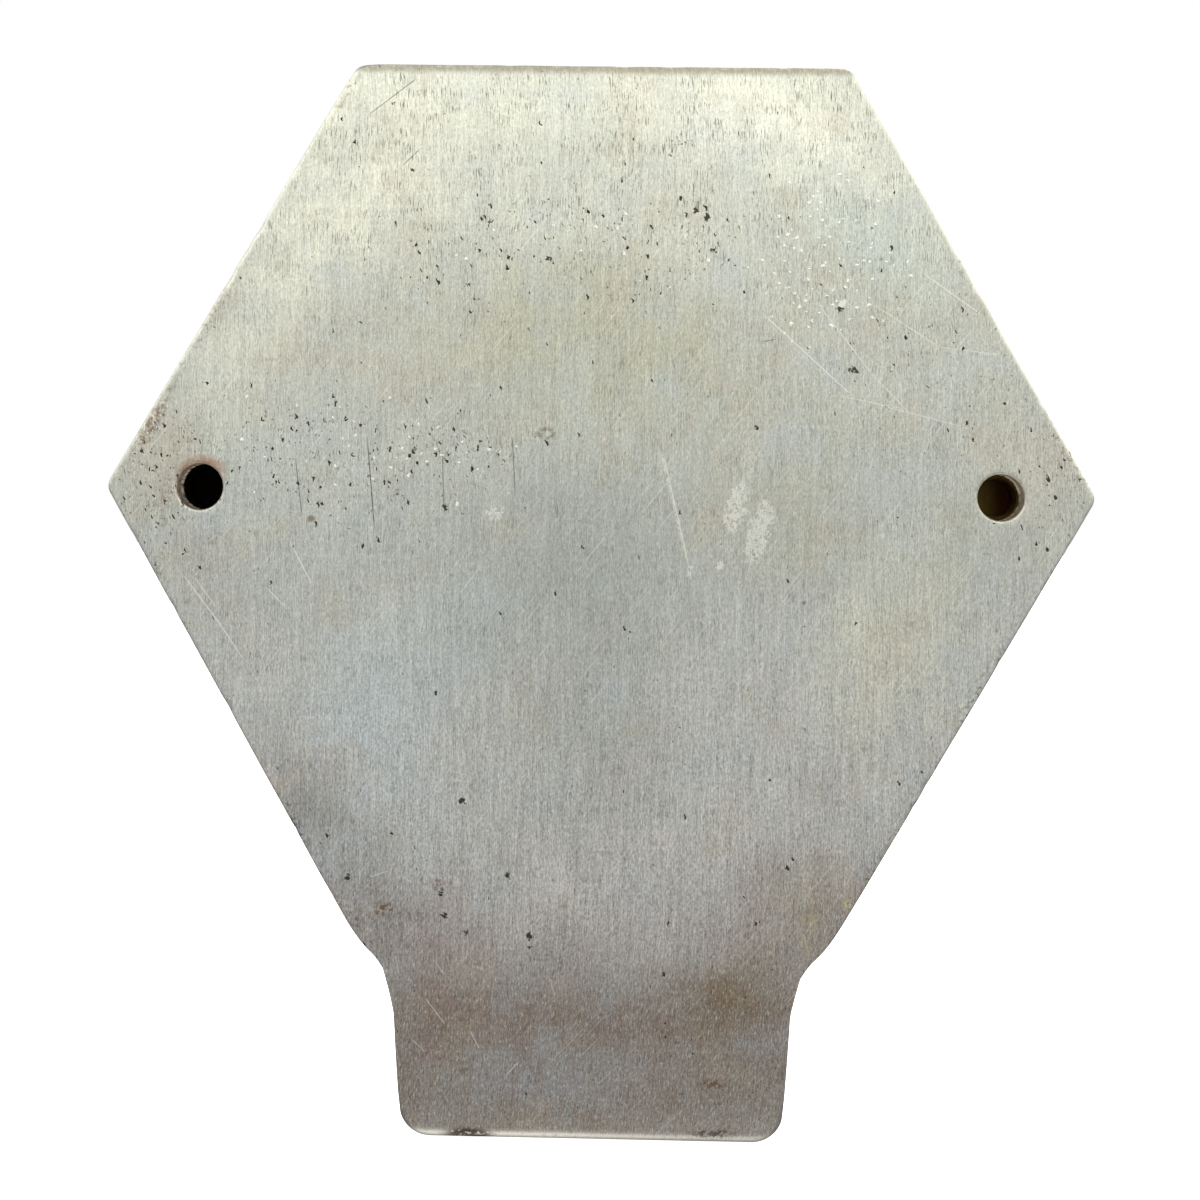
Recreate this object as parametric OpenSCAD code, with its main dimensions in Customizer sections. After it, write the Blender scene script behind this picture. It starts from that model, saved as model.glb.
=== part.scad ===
// Motoring club car badge: a hexagonal plated back plate with a number tab, a yellow enamelled face,
// a road wheel in a laurel wreath, and captive nuts under domed caps for two fixing screws.
// The badge stands upright with its face towards -Y and the flat of its back on the plane Y = 0.
// Each piece is drawn lying on its back on the bench: X across, Y up the badge, Z towards the face.

/* [Plate] */
// Width of the hexagon across its flats
across_flats = 95.25; // [80:0.25:120]
// Thickness of the plate
plate_t = 3.2; // [2.4:0.1:5]
// Radius of the hexagon's upper and side corners
corner_r = 1.7; // [1:0.1:6]
// Height of the strip along the top edge that rolls forward
roll_h = 9.2; // [4:0.1:14]
// Radius of that roll, on the back face
roll_r = 65; // [40:1:120]

/* [Number tab] */
// How far the tab reaches below the hexagon's bottom flat
tab_drop = 25.7; // [20:0.1:32]
// Step in from the hexagon's bottom corner to the side of the tab
shoulder_w = 5.4; // [4:0.1:8]
// How far each side of the tab leans in by the bottom
tab_taper = 0.5; // [0.1:0.1:1.5]
// How far below the bottom flat the slanting side runs on
side_run_on = 2.6; // [1:0.1:4]
// Radius of the inward curve at the neck
neck_r = 9.2; // [7:0.1:14]
// Radius of the tab's bottom corners
tab_corner_r = 3.4; // [1:0.1:6]
// Height above the bottom flat at which the tab starts to sweep forward
tab_bend_rise = 6.6; // [3:0.1:10]
// Radius of that sweep, on the back face
tab_bend_r = 110; // [70:1:160]

/* [Fixings] */
// Diameter of each fixing hole
hole_d = 5.16; // [4.9:0.02:6.5]
// Distance from the hexagon's side corner to the middle of a fixing hole
hole_from_corner = 10.54; // [9:0.02:13]
// Width of the captive nut across its flats
nut_af = 8.2; // [7.6:0.1:9]
// Thickness of the captive nut
nut_t = 2.8; // [2:0.1:4]
// Tapping diameter of the captive nut
nut_tap_d = 4; // [3.2:0.1:4.6]
// Clearance round the nut in its cap
nut_clear = 0.1; // [0.05:0.01:0.3]
// Wall of the cap beside the nut's corners
cap_wall = 0.7; // [0.5:0.05:1.5]
// Height of the cap's straight skirt
cap_skirt_h = 2.2; // [1:0.1:4]
// Height of the cap's dome above the skirt
cap_dome_h = 3.9; // [3.2:0.1:5]
// Width of the bead round the foot of the cap
cap_bead_w = 0.6; // [0.3:0.05:1.2]
// Thickness of that bead
cap_bead_t = 0.8; // [0.4:0.1:1.5]
// Depth left over the nut for the screw's end
screw_end_room = 1.8; // [1:0.1:2.2]
// Width of the plain land round the foot of the cap
land_w = 1; // [0.5:0.1:2]

/* [Enamel field] */
// Width of the plated border round the enamel
border_w = 3.2; // [2:0.1:5]
// Depth of the recess that holds the enamel
field_recess = 0.6; // [0.3:0.05:1]
// How far the enamel stays below the border
enamel_low = 0.05; // [0:0.05:0.25]

/* [Road wheel] */
// Gap between the wreath and the foot of each cap
cap_gap = 4.4; // [2:0.1:8]
// Gap between the wheel and the wreath
wheel_gap = 1.2; // [0.5:0.1:3]
// Width of the black tyre
tyre_w = 3.4; // [2:0.1:5]
// Width of the bright edge outside the tyre
tyre_edge_w = 0.6; // [0.4:0.1:1.2]
// Width of the bright rim inside the tyre
rim_w = 1.4; // [0.8:0.1:2.5]
// Thickness of the tyre and rim
ring_t = 2.2; // [1.8:0.1:3]
// Depth of the groove that holds the tyre's enamel
groove_h = 0.9; // [0.5:0.1:1]
// Height of the tyre enamel's crown over the groove
tyre_crown = 0.5; // [0.2:0.1:1]
// Number of spoke pairs
spoke_pairs = 10; // [8:1:14]
// Width of a spoke
spoke_w = 0.9; // [0.6:0.1:1.4]
// Thickness of a spoke
spoke_t = 1; // [0.6:0.1:1.4]
// Height of the spokes above the enamel
spoke_lift = 0.6; // [0.2:0.1:0.8]
// Distance of each spoke's line from the wheel's middle
spoke_lace = 3.6; // [2:0.1:4.2]
// Diameter of the hub's flange
hub_d = 11; // [9.5:0.1:13]
// Thickness of the hub's flange
hub_flange_t = 2; // [1.7:0.1:3]
// Diameter of the hub's barrel
barrel_d = 8.4; // [7:0.1:9]
// Height of the hub's barrel above the flange
barrel_h = 1.1; // [0.6:0.1:2]
// Diameter of the pin that carries the spinner
spinner_pin_d = 3; // [2:0.1:4]
// Height of that pin
spinner_pin_h = 1.2; // [0.8:0.1:1.6]
// Length of the spinner from ear to ear
spinner_l = 13; // [11:0.1:16]
// Width of the spinner's middle
spinner_d = 6.8; // [6:0.1:8]
// Width of an ear at its end
ear_w = 2.4; // [1.6:0.1:3.2]
// Thickness of the ears
ear_t = 1.7; // [1.4:0.1:2.4]
// Height of the spinner's dome above its ears
spinner_dome_h = 1.6; // [0.8:0.1:2.5]

/* [Laurel wreath] */
// Length of a leaf
leaf_l = 7; // [5:0.1:9]
// Width of a leaf
leaf_w = 2.8; // [2:0.1:3.6]
// Angle of a leaf to the stem
leaf_splay = 26; // [18:1:34]
// Number of leaf pairs on a spray
leaf_pairs = 9; // [6:1:10]
// Width of the stem
stem_w = 1; // [0.8:0.1:1.6]
// Thickness of a spray
spray_t = 1.3; // [1:0.1:2]
// Angle from the foot of the wreath to a spray's first leaves
spray_start = 14; // [10:1:20]
// Angle from the foot of the wreath to a spray's last leaves
spray_end = 150; // [120:1:155]
// Width of the clasp over the two stems
clasp_w = 6; // [4:0.1:7]
// Height of the clasp up the badge
clasp_h = 3.4; // [2.8:0.1:5]
// Thickness of the clasp over the stems
clasp_t = 0.9; // [0.6:0.1:1.5]
// Gap between the two stems under the clasp
stem_gap = 0.4; // [0.2:0.1:1]

/* [Pegs] */
// Diameter of the wheel's pegs
wheel_peg_d = 1.5; // [1:0.1:2]
// Diameter of the wreath's pegs
wreath_peg_d = 1.2; // [0.8:0.1:1.4]
// Depth of a peg in the piece that it carries
peg_head = 0.6; // [0.4:0.1:0.8]
// Depth of a peg in the plate
peg_foot = 1.2; // [0.8:0.1:1.6]
// Clearance round a peg
peg_clear = 0.05; // [0.02:0.01:0.1]

/* [Number plaque] */
// Margin between the plaque and each side of the tab
plaque_side = 5; // [3:0.1:8]
// Height of the plaque
plaque_h = 9.6; // [8:0.1:12]
// Margin between the plaque and the bottom of the tab
plaque_foot = 3; // [2:0.1:4.5]
// Thickness of the plaque
plaque_t = 1.1; // [0.8:0.1:1.6]
// Radius of the plaque's corners
plaque_corner_r = 1.6; // [0.8:0.1:2.5]
// Width of the plaque's rim along its long sides
plaque_rim_w = 1.2; // [0.8:0.1:2]
// Width of the plaque's ends, where the pins go
plaque_pin_land = 3.6; // [3:0.1:5]
// Depth of the plaque's enamel
plaque_recess = 0.5; // [0.2:0.05:0.6]
// Diameter of a plaque pin
pin_d = 1.3; // [1:0.1:1.6]
// Diameter of a plaque pin's round head
pin_head_d = 2.5; // [2:0.1:2.8]
// Height of that head
pin_head_h = 0.9; // [0.5:0.1:1.2]
// Depth of a plaque pin in the plate
pin_foot = 1.6; // [1:0.1:1.8]

/* [Hidden] */
$fn = 96;
apothem = across_flats / 2;
corner_x = apothem / cos(30);
hole_x = corner_x - hole_from_corner;
cut_over = 1;
sweep_past = 4;

// Bends of the sheet
roll_y = apothem - roll_h;
roll_sweep = asin(roll_h / roll_r) + sweep_past;
tab_bend_y = apothem - tab_bend_rise;
tab_bottom_y = apothem + tab_drop;
tab_sweep = asin((tab_bottom_y - tab_bend_y) / tab_bend_r) + sweep_past;
sheet_reach = tab_bend_r * (1 - cos(tab_sweep)) + 2 * plate_t;

// Neck of the tab: an arc from the end of the slanting side to the side of the tab, which both lap into it
tab_half_w = corner_x / 2 - shoulder_w;
side_end = [(apothem - sin(30) * (apothem + side_run_on)) / cos(30), -apothem - side_run_on];
neck_lap = 0.1;
neck_x = tab_half_w + neck_r;
neck_c = [neck_x, side_end.y - sqrt(neck_r ^ 2 - (neck_x - side_end.x) ^ 2)];
tab_foot_half_w = tab_half_w - tab_taper;
tab_corner_c = [tab_foot_half_w - tab_corner_r, tab_corner_r - tab_bottom_y];
tab_side = [side_end - neck_lap * [sin(30), cos(30)], [tab_half_w + neck_lap, neck_c.y],
            [tab_foot_half_w, tab_corner_c.y], [tab_corner_c.x, -tab_bottom_y]];
corner_centre_r = (apothem - corner_r) / cos(30);
// Each corner's arc stands this much proud of the straight edges, so that it always crosses them
corner_lap = 0.02;

// Caps and nuts
nut_corner_r = nut_af / 2 / cos(30);
cap_r = nut_corner_r + nut_clear / cos(30) + cap_wall;
cap_foot_r = cap_r + cap_bead_w;
cap_dome_r = (cap_r ^ 2 + cap_dome_h ^ 2) / (2 * cap_dome_h);
land_r = cap_foot_r + land_w;

// Levels of the face
field_floor = plate_t - field_recess;
field_top = plate_t - enamel_low;
field_apothem = apothem - border_w;

// Emblem, from the caps inwards
leaf_reach = leaf_l * sin(leaf_splay) + leaf_w / 2;
wreath_r = hole_x - cap_foot_r - cap_gap - leaf_reach;
wheel_r = wreath_r - leaf_reach - wheel_gap;
tyre_outer_r = wheel_r - tyre_edge_w;
tyre_inner_r = tyre_outer_r - tyre_w;
rim_inner_r = tyre_inner_r - rim_w;
tyre_mid_r = (tyre_outer_r + tyre_inner_r) / 2;
tyre_crown_r = (tyre_w ^ 2 / 4 + tyre_crown ^ 2) / (2 * tyre_crown);
hub_top = field_top + hub_flange_t + barrel_h;
wheel_peg_angles = [90, 210, 330];

// Leaves
leaf_arc_r = (leaf_l ^ 2 + leaf_w ^ 2) / (4 * leaf_w);
leaf_step = (spray_end - spray_start) / (leaf_pairs - 1);
peg_along_leaf = asin(leaf_l / 4 / wreath_r);
wreath_peg_pairs = [1, leaf_pairs - 2];

// Number plaque
plaque_w = 2 * tab_foot_half_w - 2 * plaque_side;
plaque_y = tab_bottom_y - plaque_foot - plaque_h / 2;
plaque_top = plate_t + plaque_t;
plaque_angle = asin((plaque_y - tab_bend_y) / (tab_bend_r - plaque_top));
plaque_pin_x = (plaque_w - plaque_pin_land) / 2;
pin_dome_r = (pin_head_d ^ 2 / 4 + pin_head_h ^ 2) / (2 * pin_head_h);

function heading(angle) = [cos(angle), sin(angle)];
// Both ends of the arc that rounds one of the hexagon's corners
function corner_ends(k) =
    [for (s = [-30, 30]) corner_centre_r * heading(60 * k) + corner_r * heading(60 * k + s)];

// Lifts a piece from the bench to its upright place
module stand() {
    rotate([90, 0, 0]) children();
}

// A wedge of a ring, from one angle through a sweep
module ring_sector(inner, outer, start, sweep) {
    steps = 8;
    intersection() {
        difference() {
            circle(outer);
            circle(inner);
        }
        polygon([[0, 0], for (i = [0 : steps]) 2 * outer * heading(start + sweep * i / steps)]);
    }
}

// Side view of the bent sheet between two depths from its back face
module sheet_section(back, front) {
    translate([-tab_bend_y, back]) square([tab_bend_y + roll_y, front - back]);
    translate([roll_y, roll_r])
        ring_sector(roll_r - front, roll_r - back, -90, roll_sweep);
    translate([-tab_bend_y, tab_bend_r])
        ring_sector(tab_bend_r - front, tab_bend_r - back, -90 - tab_sweep, tab_sweep);
}

// The bent sheet between two depths, cut to the outline given as a child
module bent_sheet(back, front) {
    intersection() {
        rotate([90, 0, 90]) linear_extrude(3 * corner_x, center = true) sheet_section(back, front);
        translate([0, 0, -cut_over]) linear_extrude(sheet_reach) children();
    }
}

// Hexagon with pointed sides and rounded corners
module rounded_hexagon(flat_r, round_r) {
    centre_r = (flat_r - round_r) / cos(30);
    polygon([for (k = [0 : 5], s = [-30, 30]) centre_r * heading(60 * k) + round_r * heading(60 * k + s)]);
    for (k = [0 : 5]) translate(centre_r * heading(60 * k)) circle(round_r + corner_lap);
}

// Outline of the plate: straight lines between the ends of its arcs, then the arcs
module plate_outline() {
    difference() {
        polygon(concat([for (k = [0 : 3]) each corner_ends(k)],
                       [for (p = tab_side) [-p.x, p.y]],
                       [for (i = [len(tab_side) - 1 : -1 : 0]) tab_side[i]]));
        for (side = [-1, 1]) translate([side * neck_c.x, neck_c.y]) circle(neck_r);
    }
    for (k = [0 : 3]) translate(corner_centre_r * heading(60 * k)) circle(corner_r + corner_lap);
    for (side = [-1, 1]) translate([side * tab_corner_c.x, tab_corner_c.y]) circle(tab_corner_r);
}

// Enamel field: the hexagon inside the border, less the lands round the caps
module field_outline() {
    difference() {
        rounded_hexagon(field_apothem, corner_r / 2);
        for (side = [-1, 1]) translate([side * hole_x, 0]) {
            circle(land_r);
            translate([side < 0 ? -land_r - corner_x : 0, -land_r]) square([land_r + corner_x, 2 * land_r]);
        }
    }
}

// Carries its children to both fixing holes
module at_holes() {
    for (side = [-1, 1]) translate([side * hole_x, 0, 0]) children();
}

// Carries its children to the wheel's pegs
module at_wheel_pegs() {
    for (angle = wheel_peg_angles) translate(concat(tyre_mid_r * heading(angle), [0])) children();
}

// Carries its children to the wreath's pegs, two on each spray
module at_wreath_pegs() {
    for (side = [-1, 1], i = wreath_peg_pairs) {
        at = wreath_r * heading(spray_start + i * leaf_step + peg_along_leaf - 90);
        translate([side * at.x, at.y, 0]) children();
    }
}

// Carries its children to both plaque pins, square to the tab at the plaque's front face
module at_plaque_pins() {
    for (side = [-1, 1])
        translate([side * plaque_pin_x, -tab_bend_y, tab_bend_r]) rotate([-plaque_angle, 0, 0])
            translate([0, 0, plaque_top - tab_bend_r]) children();
}

// Sockets for every peg, from the plate's blind ends up to a given level
module peg_sockets(top) {
    foot = field_floor - peg_foot;
    translate([0, 0, foot]) {
        at_wheel_pegs() cylinder(d = wheel_peg_d + 2 * peg_clear, h = top - foot);
        at_wreath_pegs() cylinder(d = wreath_peg_d + 2 * peg_clear, h = top - foot);
    }
}

module back_plate() {
    color("silver") stand() difference() {
        bent_sheet(0, plate_t) plate_outline();
        bent_sheet(field_floor, plate_t + cut_over) field_outline();
        at_holes() translate([0, 0, -cut_over]) cylinder(d = hole_d, h = plate_t + 2 * cut_over);
        peg_sockets(plate_t);
        plaque_pin_holes();
    }
}

module field_enamel() {
    color("gold") stand() difference() {
        bent_sheet(field_floor, field_top) field_outline();
        peg_sockets(plate_t);
    }
}

// Spokes laced both ways, each on a line that passes beside the wheel's middle
module spokes() {
    spoke_l = sqrt(rim_inner_r ^ 2 - spoke_lace ^ 2) + rim_w / 2;
    for (i = [0 : spoke_pairs - 1], way = [-1, 1])
        rotate(360 * i / spoke_pairs) translate([0, way * spoke_lace - spoke_w / 2]) square([spoke_l, spoke_w]);
}

module wheel_casting() {
    groove_floor = ring_t - groove_h;
    color("gainsboro") stand() translate([0, 0, field_top]) difference() {
        union() {
            rotate_extrude() polygon([[rim_inner_r, 0], [wheel_r, 0], [wheel_r, ring_t],
                                      [tyre_outer_r, ring_t], [tyre_outer_r, groove_floor],
                                      [tyre_inner_r, groove_floor], [tyre_inner_r, ring_t],
                                      [rim_inner_r, ring_t]]);
            translate([0, 0, spoke_lift]) linear_extrude(spoke_t) spokes();
            cylinder(d = hub_d, h = hub_flange_t);
            cylinder(d = barrel_d, h = hub_flange_t + barrel_h);
            cylinder(d = spinner_pin_d, h = hub_flange_t + barrel_h + spinner_pin_h);
        }
        at_wheel_pegs() translate([0, 0, -cut_over])
            cylinder(d = wheel_peg_d + 2 * peg_clear, h = peg_head + cut_over);
    }
}

module tyre_enamel() {
    color("black") stand() translate([0, 0, field_top + ring_t - groove_h]) rotate_extrude()
        intersection() {
            translate([tyre_inner_r, 0]) square([tyre_w, groove_h + tyre_crown]);
            translate([tyre_mid_r, groove_h + tyre_crown - tyre_crown_r]) circle(tyre_crown_r);
        }
}

// Two-eared knock-off nut on the hub's pin
module hub_spinner() {
    ear_x = (spinner_l - ear_w) / 2;
    dome_r = (spinner_d ^ 2 / 4 + spinner_dome_h ^ 2) / (2 * spinner_dome_h);
    color("gainsboro") stand() translate([0, 0, hub_top]) rotate(90) difference() {
        union() {
            linear_extrude(ear_t) {
                circle(d = spinner_d);
                for (side = [-1, 1]) {
                    translate([side * ear_x, 0]) circle(d = ear_w);
                    polygon([[0, spinner_d / 2 - ear_w / 4], [side * ear_x, ear_w / 2],
                             [side * ear_x, -ear_w / 2], [0, ear_w / 4 - spinner_d / 2]]);
                }
            }
            translate([0, 0, ear_t]) rotate_extrude() intersection() {
                square([spinner_d, spinner_dome_h]);
                translate([0, spinner_dome_h - dome_r]) circle(dome_r);
            }
        }
        translate([0, 0, -cut_over])
            cylinder(d = spinner_pin_d + 2 * peg_clear, h = spinner_pin_h + peg_clear + cut_over);
    }
}

module wheel_pegs() {
    color("peru") stand() at_wheel_pegs() translate([0, 0, field_floor - peg_foot])
        cylinder(d = wheel_peg_d, h = peg_foot + field_top - field_floor + peg_head);
}

// Pointed leaf along +X from its foot
module leaf() {
    translate([leaf_l / 2, 0]) intersection() {
        translate([0, leaf_arc_r - leaf_w / 2]) circle(leaf_arc_r);
        translate([0, leaf_w / 2 - leaf_arc_r]) circle(leaf_arc_r);
    }
}

// Right-hand spray: a curved stem with pairs of leaves and one at the tip
module spray_outline() {
    stem_start = asin(stem_gap / 2 / wreath_r);
    rotate(-90) {
        ring_sector(wreath_r - stem_w / 2, wreath_r + stem_w / 2, stem_start, spray_end + peg_along_leaf - stem_start);
        for (i = [0 : leaf_pairs - 1], way = [-1, 1])
            rotate(spray_start + i * leaf_step) translate([wreath_r, 0]) rotate(90 + way * leaf_splay) leaf();
        rotate(spray_end) translate([wreath_r, 0]) rotate(90) leaf();
    }
}

module laurel_spray() {
    difference() {
        translate([0, 0, field_top]) linear_extrude(spray_t) spray_outline();
        at_wreath_pegs() translate([0, 0, field_top - cut_over])
            cylinder(d = wreath_peg_d + 2 * peg_clear, h = peg_head + cut_over);
    }
}

module laurel_spray_left() {
    color("gainsboro") stand() mirror([1, 0, 0]) laurel_spray();
}

module laurel_spray_right() {
    color("gainsboro") stand() laurel_spray();
}

// Rounded saddle that bridges the two stems at the foot of the wreath
module wreath_clasp() {
    clasp_top = spray_t + clasp_t;
    color("gainsboro") stand() translate([0, -wreath_r, field_top]) difference() {
        intersection() {
            translate([-clasp_w / 2, -clasp_h / 2, 0]) cube([clasp_w, clasp_h, clasp_top]);
            translate([-clasp_w / 2, 0, clasp_top - clasp_h]) rotate([0, 90, 0]) cylinder(r = clasp_h, h = clasp_w);
        }
        translate([0, wreath_r, -cut_over]) linear_extrude(spray_t + peg_clear + cut_over) difference() {
            circle(wreath_r + stem_w / 2 + peg_clear);
            circle(wreath_r - stem_w / 2 - peg_clear);
        }
    }
}

module wreath_pegs() {
    color("peru") stand() at_wreath_pegs() translate([0, 0, field_floor - peg_foot])
        cylinder(d = wreath_peg_d, h = peg_foot + field_top - field_floor + peg_head);
}

// Domed blind cap with a hexagonal pocket that keeps its nut from turning
module fixing_cap() {
    pocket_h = nut_t + nut_clear;
    translate([0, 0, plate_t]) difference() {
        union() {
            cylinder(r = cap_foot_r, h = cap_bead_t);
            cylinder(r = cap_r, h = cap_skirt_h);
            translate([0, 0, cap_skirt_h]) rotate_extrude() intersection() {
                square([cap_r, cap_dome_h]);
                translate([0, cap_dome_h - cap_dome_r]) circle(cap_dome_r);
            }
        }
        translate([0, 0, -cut_over])
            cylinder(r = nut_corner_r + nut_clear / cos(30), h = pocket_h + cut_over, $fn = 6);
        cylinder(d = hole_d, h = pocket_h + screw_end_room);
    }
}

module fixing_cap_left() {
    color("gainsboro") stand() translate([-hole_x, 0, 0]) fixing_cap();
}

module fixing_cap_right() {
    color("gainsboro") stand() translate([hole_x, 0, 0]) fixing_cap();
}

module captive_nuts() {
    color("darkkhaki") stand() at_holes() translate([0, 0, plate_t]) difference() {
        cylinder(r = nut_corner_r, h = nut_t, $fn = 6);
        translate([0, 0, -cut_over]) cylinder(d = nut_tap_d, h = nut_t + 2 * cut_over);
    }
}

// Rectangle with rounded corners, centred
module rounded_rectangle(width, height, round_r) {
    square([width - 2 * round_r, height], center = true);
    square([width, height - 2 * round_r], center = true);
    for (sx = [-1, 1], sy = [-1, 1])
        translate([sx * (width / 2 - round_r), sy * (height / 2 - round_r)]) circle(round_r);
}

// Blank panel between the plaque's pin lands
module plaque_panel() {
    translate([0, -plaque_y]) rounded_rectangle(plaque_w - 2 * plaque_pin_land, plaque_h - 2 * plaque_rim_w,
                                                plaque_corner_r / 2);
}

// Holes for the pins through the plaque and part way into the plate
module plaque_pin_holes() {
    depth = plaque_t + pin_foot;
    at_plaque_pins() translate([0, 0, -depth]) cylinder(d = pin_d + 2 * peg_clear, h = depth + cut_over);
}

// Plaque formed to the sweep of the tab
module number_plaque() {
    color("gainsboro") stand() difference() {
        bent_sheet(plate_t, plaque_top)
            translate([0, -plaque_y]) rounded_rectangle(plaque_w, plaque_h, plaque_corner_r);
        bent_sheet(plaque_top - plaque_recess, plaque_top + cut_over) plaque_panel();
        plaque_pin_holes();
    }
}

module plaque_enamel() {
    color("black") stand() bent_sheet(plaque_top - plaque_recess, plaque_top) plaque_panel();
}

// Round-headed pins that nail the plaque to the tab, lifted so that their heads clear its curve
module plaque_pins() {
    curve_r = tab_bend_r - plaque_top;
    head_lift = curve_r - sqrt(curve_r ^ 2 - pin_head_d ^ 2 / 4);
    depth = plaque_t + pin_foot;
    color("gainsboro") stand() at_plaque_pins() translate([0, 0, head_lift]) {
        translate([0, 0, -depth]) cylinder(d = pin_d, h = depth + pin_head_h / 2);
        rotate_extrude() intersection() {
            square([pin_head_d, pin_head_h]);
            translate([0, pin_head_h - pin_dome_r]) circle(pin_dome_r);
        }
    }
}

back_plate();
field_enamel();
wheel_casting();
tyre_enamel();
hub_spinner();
wheel_pegs();
laurel_spray_left();
laurel_spray_right();
wreath_clasp();
wreath_pegs();
fixing_cap_left();
fixing_cap_right();
captive_nuts();
number_plaque();
plaque_enamel();
plaque_pins();
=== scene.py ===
import functools
import math

import bmesh
import bpy
import numpy as np
from mathutils import Matrix


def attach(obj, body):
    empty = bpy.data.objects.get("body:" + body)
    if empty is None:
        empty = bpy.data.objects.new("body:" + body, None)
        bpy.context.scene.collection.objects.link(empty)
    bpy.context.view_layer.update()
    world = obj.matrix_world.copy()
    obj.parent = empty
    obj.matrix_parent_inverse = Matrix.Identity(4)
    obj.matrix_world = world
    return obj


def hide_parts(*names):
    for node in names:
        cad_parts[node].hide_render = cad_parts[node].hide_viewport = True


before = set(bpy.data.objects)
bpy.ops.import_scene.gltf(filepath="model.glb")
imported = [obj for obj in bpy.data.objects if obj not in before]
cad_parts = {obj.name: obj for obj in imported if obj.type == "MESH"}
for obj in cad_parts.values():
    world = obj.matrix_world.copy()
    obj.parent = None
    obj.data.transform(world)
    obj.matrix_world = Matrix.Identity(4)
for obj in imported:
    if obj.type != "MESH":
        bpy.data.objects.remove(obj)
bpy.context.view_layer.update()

# Sizes of the badge in millimetres and degrees, the main ones as in the part's source
MM = 0.001
COS_30 = math.cos(math.radians(30))
APOTHEM = 47.625
PLATE_T = 3.2
CORNER_R = 1.7
CORNER_X = APOTHEM / COS_30
ROLL_Y, ROLL_R = APOTHEM - 9.2, 65.0
TAB_BEND_Y, TAB_BEND_R = APOTHEM - 6.6, 110.0
TAB_BOTTOM = APOTHEM + 25.7
TAB_HALF_W = CORNER_X / 2 - 5.4
TAB_FOOT_HALF_W = TAB_HALF_W - 0.5
TAB_CORNER_R = 3.4
SIDE_RUN_ON = 2.6
WORN_RUN, WORN_TURN = 3.0, 13
EDGE_R, FACE_EDGE_R, FOOT_EDGE_R, HOLE_LIP_R = 0.35, 0.45, 1.2, 0.3
NECK_R = 9.2
HOLE_R = 2.58
HOLE_X = CORNER_X - 10.54
NUT_AF, NUT_T, NUT_TAP_R = 8.2, 2.8, 2.0
NUT_PITCH, NUT_THREAD_H = 0.8, 0.28
NUT_CORNER_R = NUT_AF / 2 / COS_30
CAP_POCKET_R = NUT_CORNER_R + 0.1155
CAP_R = CAP_POCKET_R + 0.7
CAP_FOOT_R = CAP_R + 0.6
CAP_FOOT_H, CAP_SKIRT_H, CAP_DOME_H = 0.8, 2.2, 3.9
CAP_POCKET_H, SCREW_ROOM_R, SCREW_ROOM_H = 2.95, 2.6, 4.6
LAND_R = CAP_FOOT_R + 1.0
LAND_CUT_Y = 7.77
FIELD_BORDER = 3.2
FIELD_APOTHEM = APOTHEM - FIELD_BORDER
FIELD_FLOOR = PLATE_T - 0.6
FIELD_TOP = PLATE_T - 0.05
LEAF_L, LEAF_W, LEAF_SPLAY = 7.0, 2.8, 26.0
LEAF_REACH = LEAF_L * math.sin(math.radians(LEAF_SPLAY)) + LEAF_W / 2
WREATH_R = HOLE_X - CAP_FOOT_R - 4.4 - LEAF_REACH
SPRAY_START, SPRAY_END, LEAF_PAIRS, SPRAY_T = 14.0, 150.0, 9, 1.3
STEM_HALF_W, STEM_HALF_T = 0.5, 0.55
CLASP_HALF_H, CLASP_HALF_T = 1.7, 1.1
WHEEL_R = WREATH_R - LEAF_REACH - 1.2
TYRE_OUTER_R = WHEEL_R - 0.6
TYRE_INNER_R = TYRE_OUTER_R - 3.4
RIM_INNER_R = TYRE_INNER_R - 1.4
RING_T, GROOVE_H, TYRE_CROWN = 2.2, 0.9, 0.5
SPOKE_PAIRS, SPOKE_LACE, SPOKE_LEVEL, SPOKE_CROSSING = 10, 3.6, 1.1, 0.12
HUB_FLANGE_R, HUB_FLANGE_H = 5.5, 2.0
HUB_BARREL_R, HUB_BARREL_H = 4.2, 1.1
HUB_PIN_R, HUB_PIN_H = 1.5, 1.2
HUB_TOP = FIELD_TOP + HUB_FLANGE_H + HUB_BARREL_H
SPINNER_R, SPINNER_EAR, SPINNER_H, SPINNER_DOME_H = 3.4, 3.1, 1.7, 1.6
PLAQUE_W, PLAQUE_H = 2 * TAB_FOOT_HALF_W - 10, 9.6
PLAQUE = (PLAQUE_W, PLAQUE_H, 1.6)
PLAQUE_Y = TAB_BOTTOM - 3 - PLAQUE_H / 2
PLAQUE_TOP = PLATE_T + 1.1
PIN_LAND = 3.6
PANEL = (PLAQUE_W - 2 * PIN_LAND, PLAQUE_H - 2.4, 0.8)
PANEL_DEEP = 0.5
PIN_HEAD_R, PIN_HEAD_H, PIN_SHANK_R, PIN_SHANK_L = 1.25, 0.9, 0.65, 2.6
ENAMEL_GAP = 0.01


# Helpers for surfaces

def bend(up, level):
    """How far the bent sheet's layer at a level stands forward: past each bend line it follows an arc about
    that bend's centre, so the rise is the radius less the root of its square less the square of the way past
    the line."""
    past_roll = np.maximum(up - ROLL_Y, 0)
    past_tab = np.maximum(-up - TAB_BEND_Y, 0)
    roll = (ROLL_R - level) - np.sqrt((ROLL_R - level) ** 2 - past_roll ** 2)
    tab = (TAB_BEND_R - level) - np.sqrt((TAB_BEND_R - level) ** 2 - past_tab ** 2)
    return level + roll + tab


def stand(across, up, out):
    """Bench sizes in millimetres, across, up and out towards the face, made row points in metres: x, minus
    out, up."""
    across, up, out = np.broadcast_arrays(across, up, out)
    return np.stack([across, -out, up], axis=-1) * MM


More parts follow.
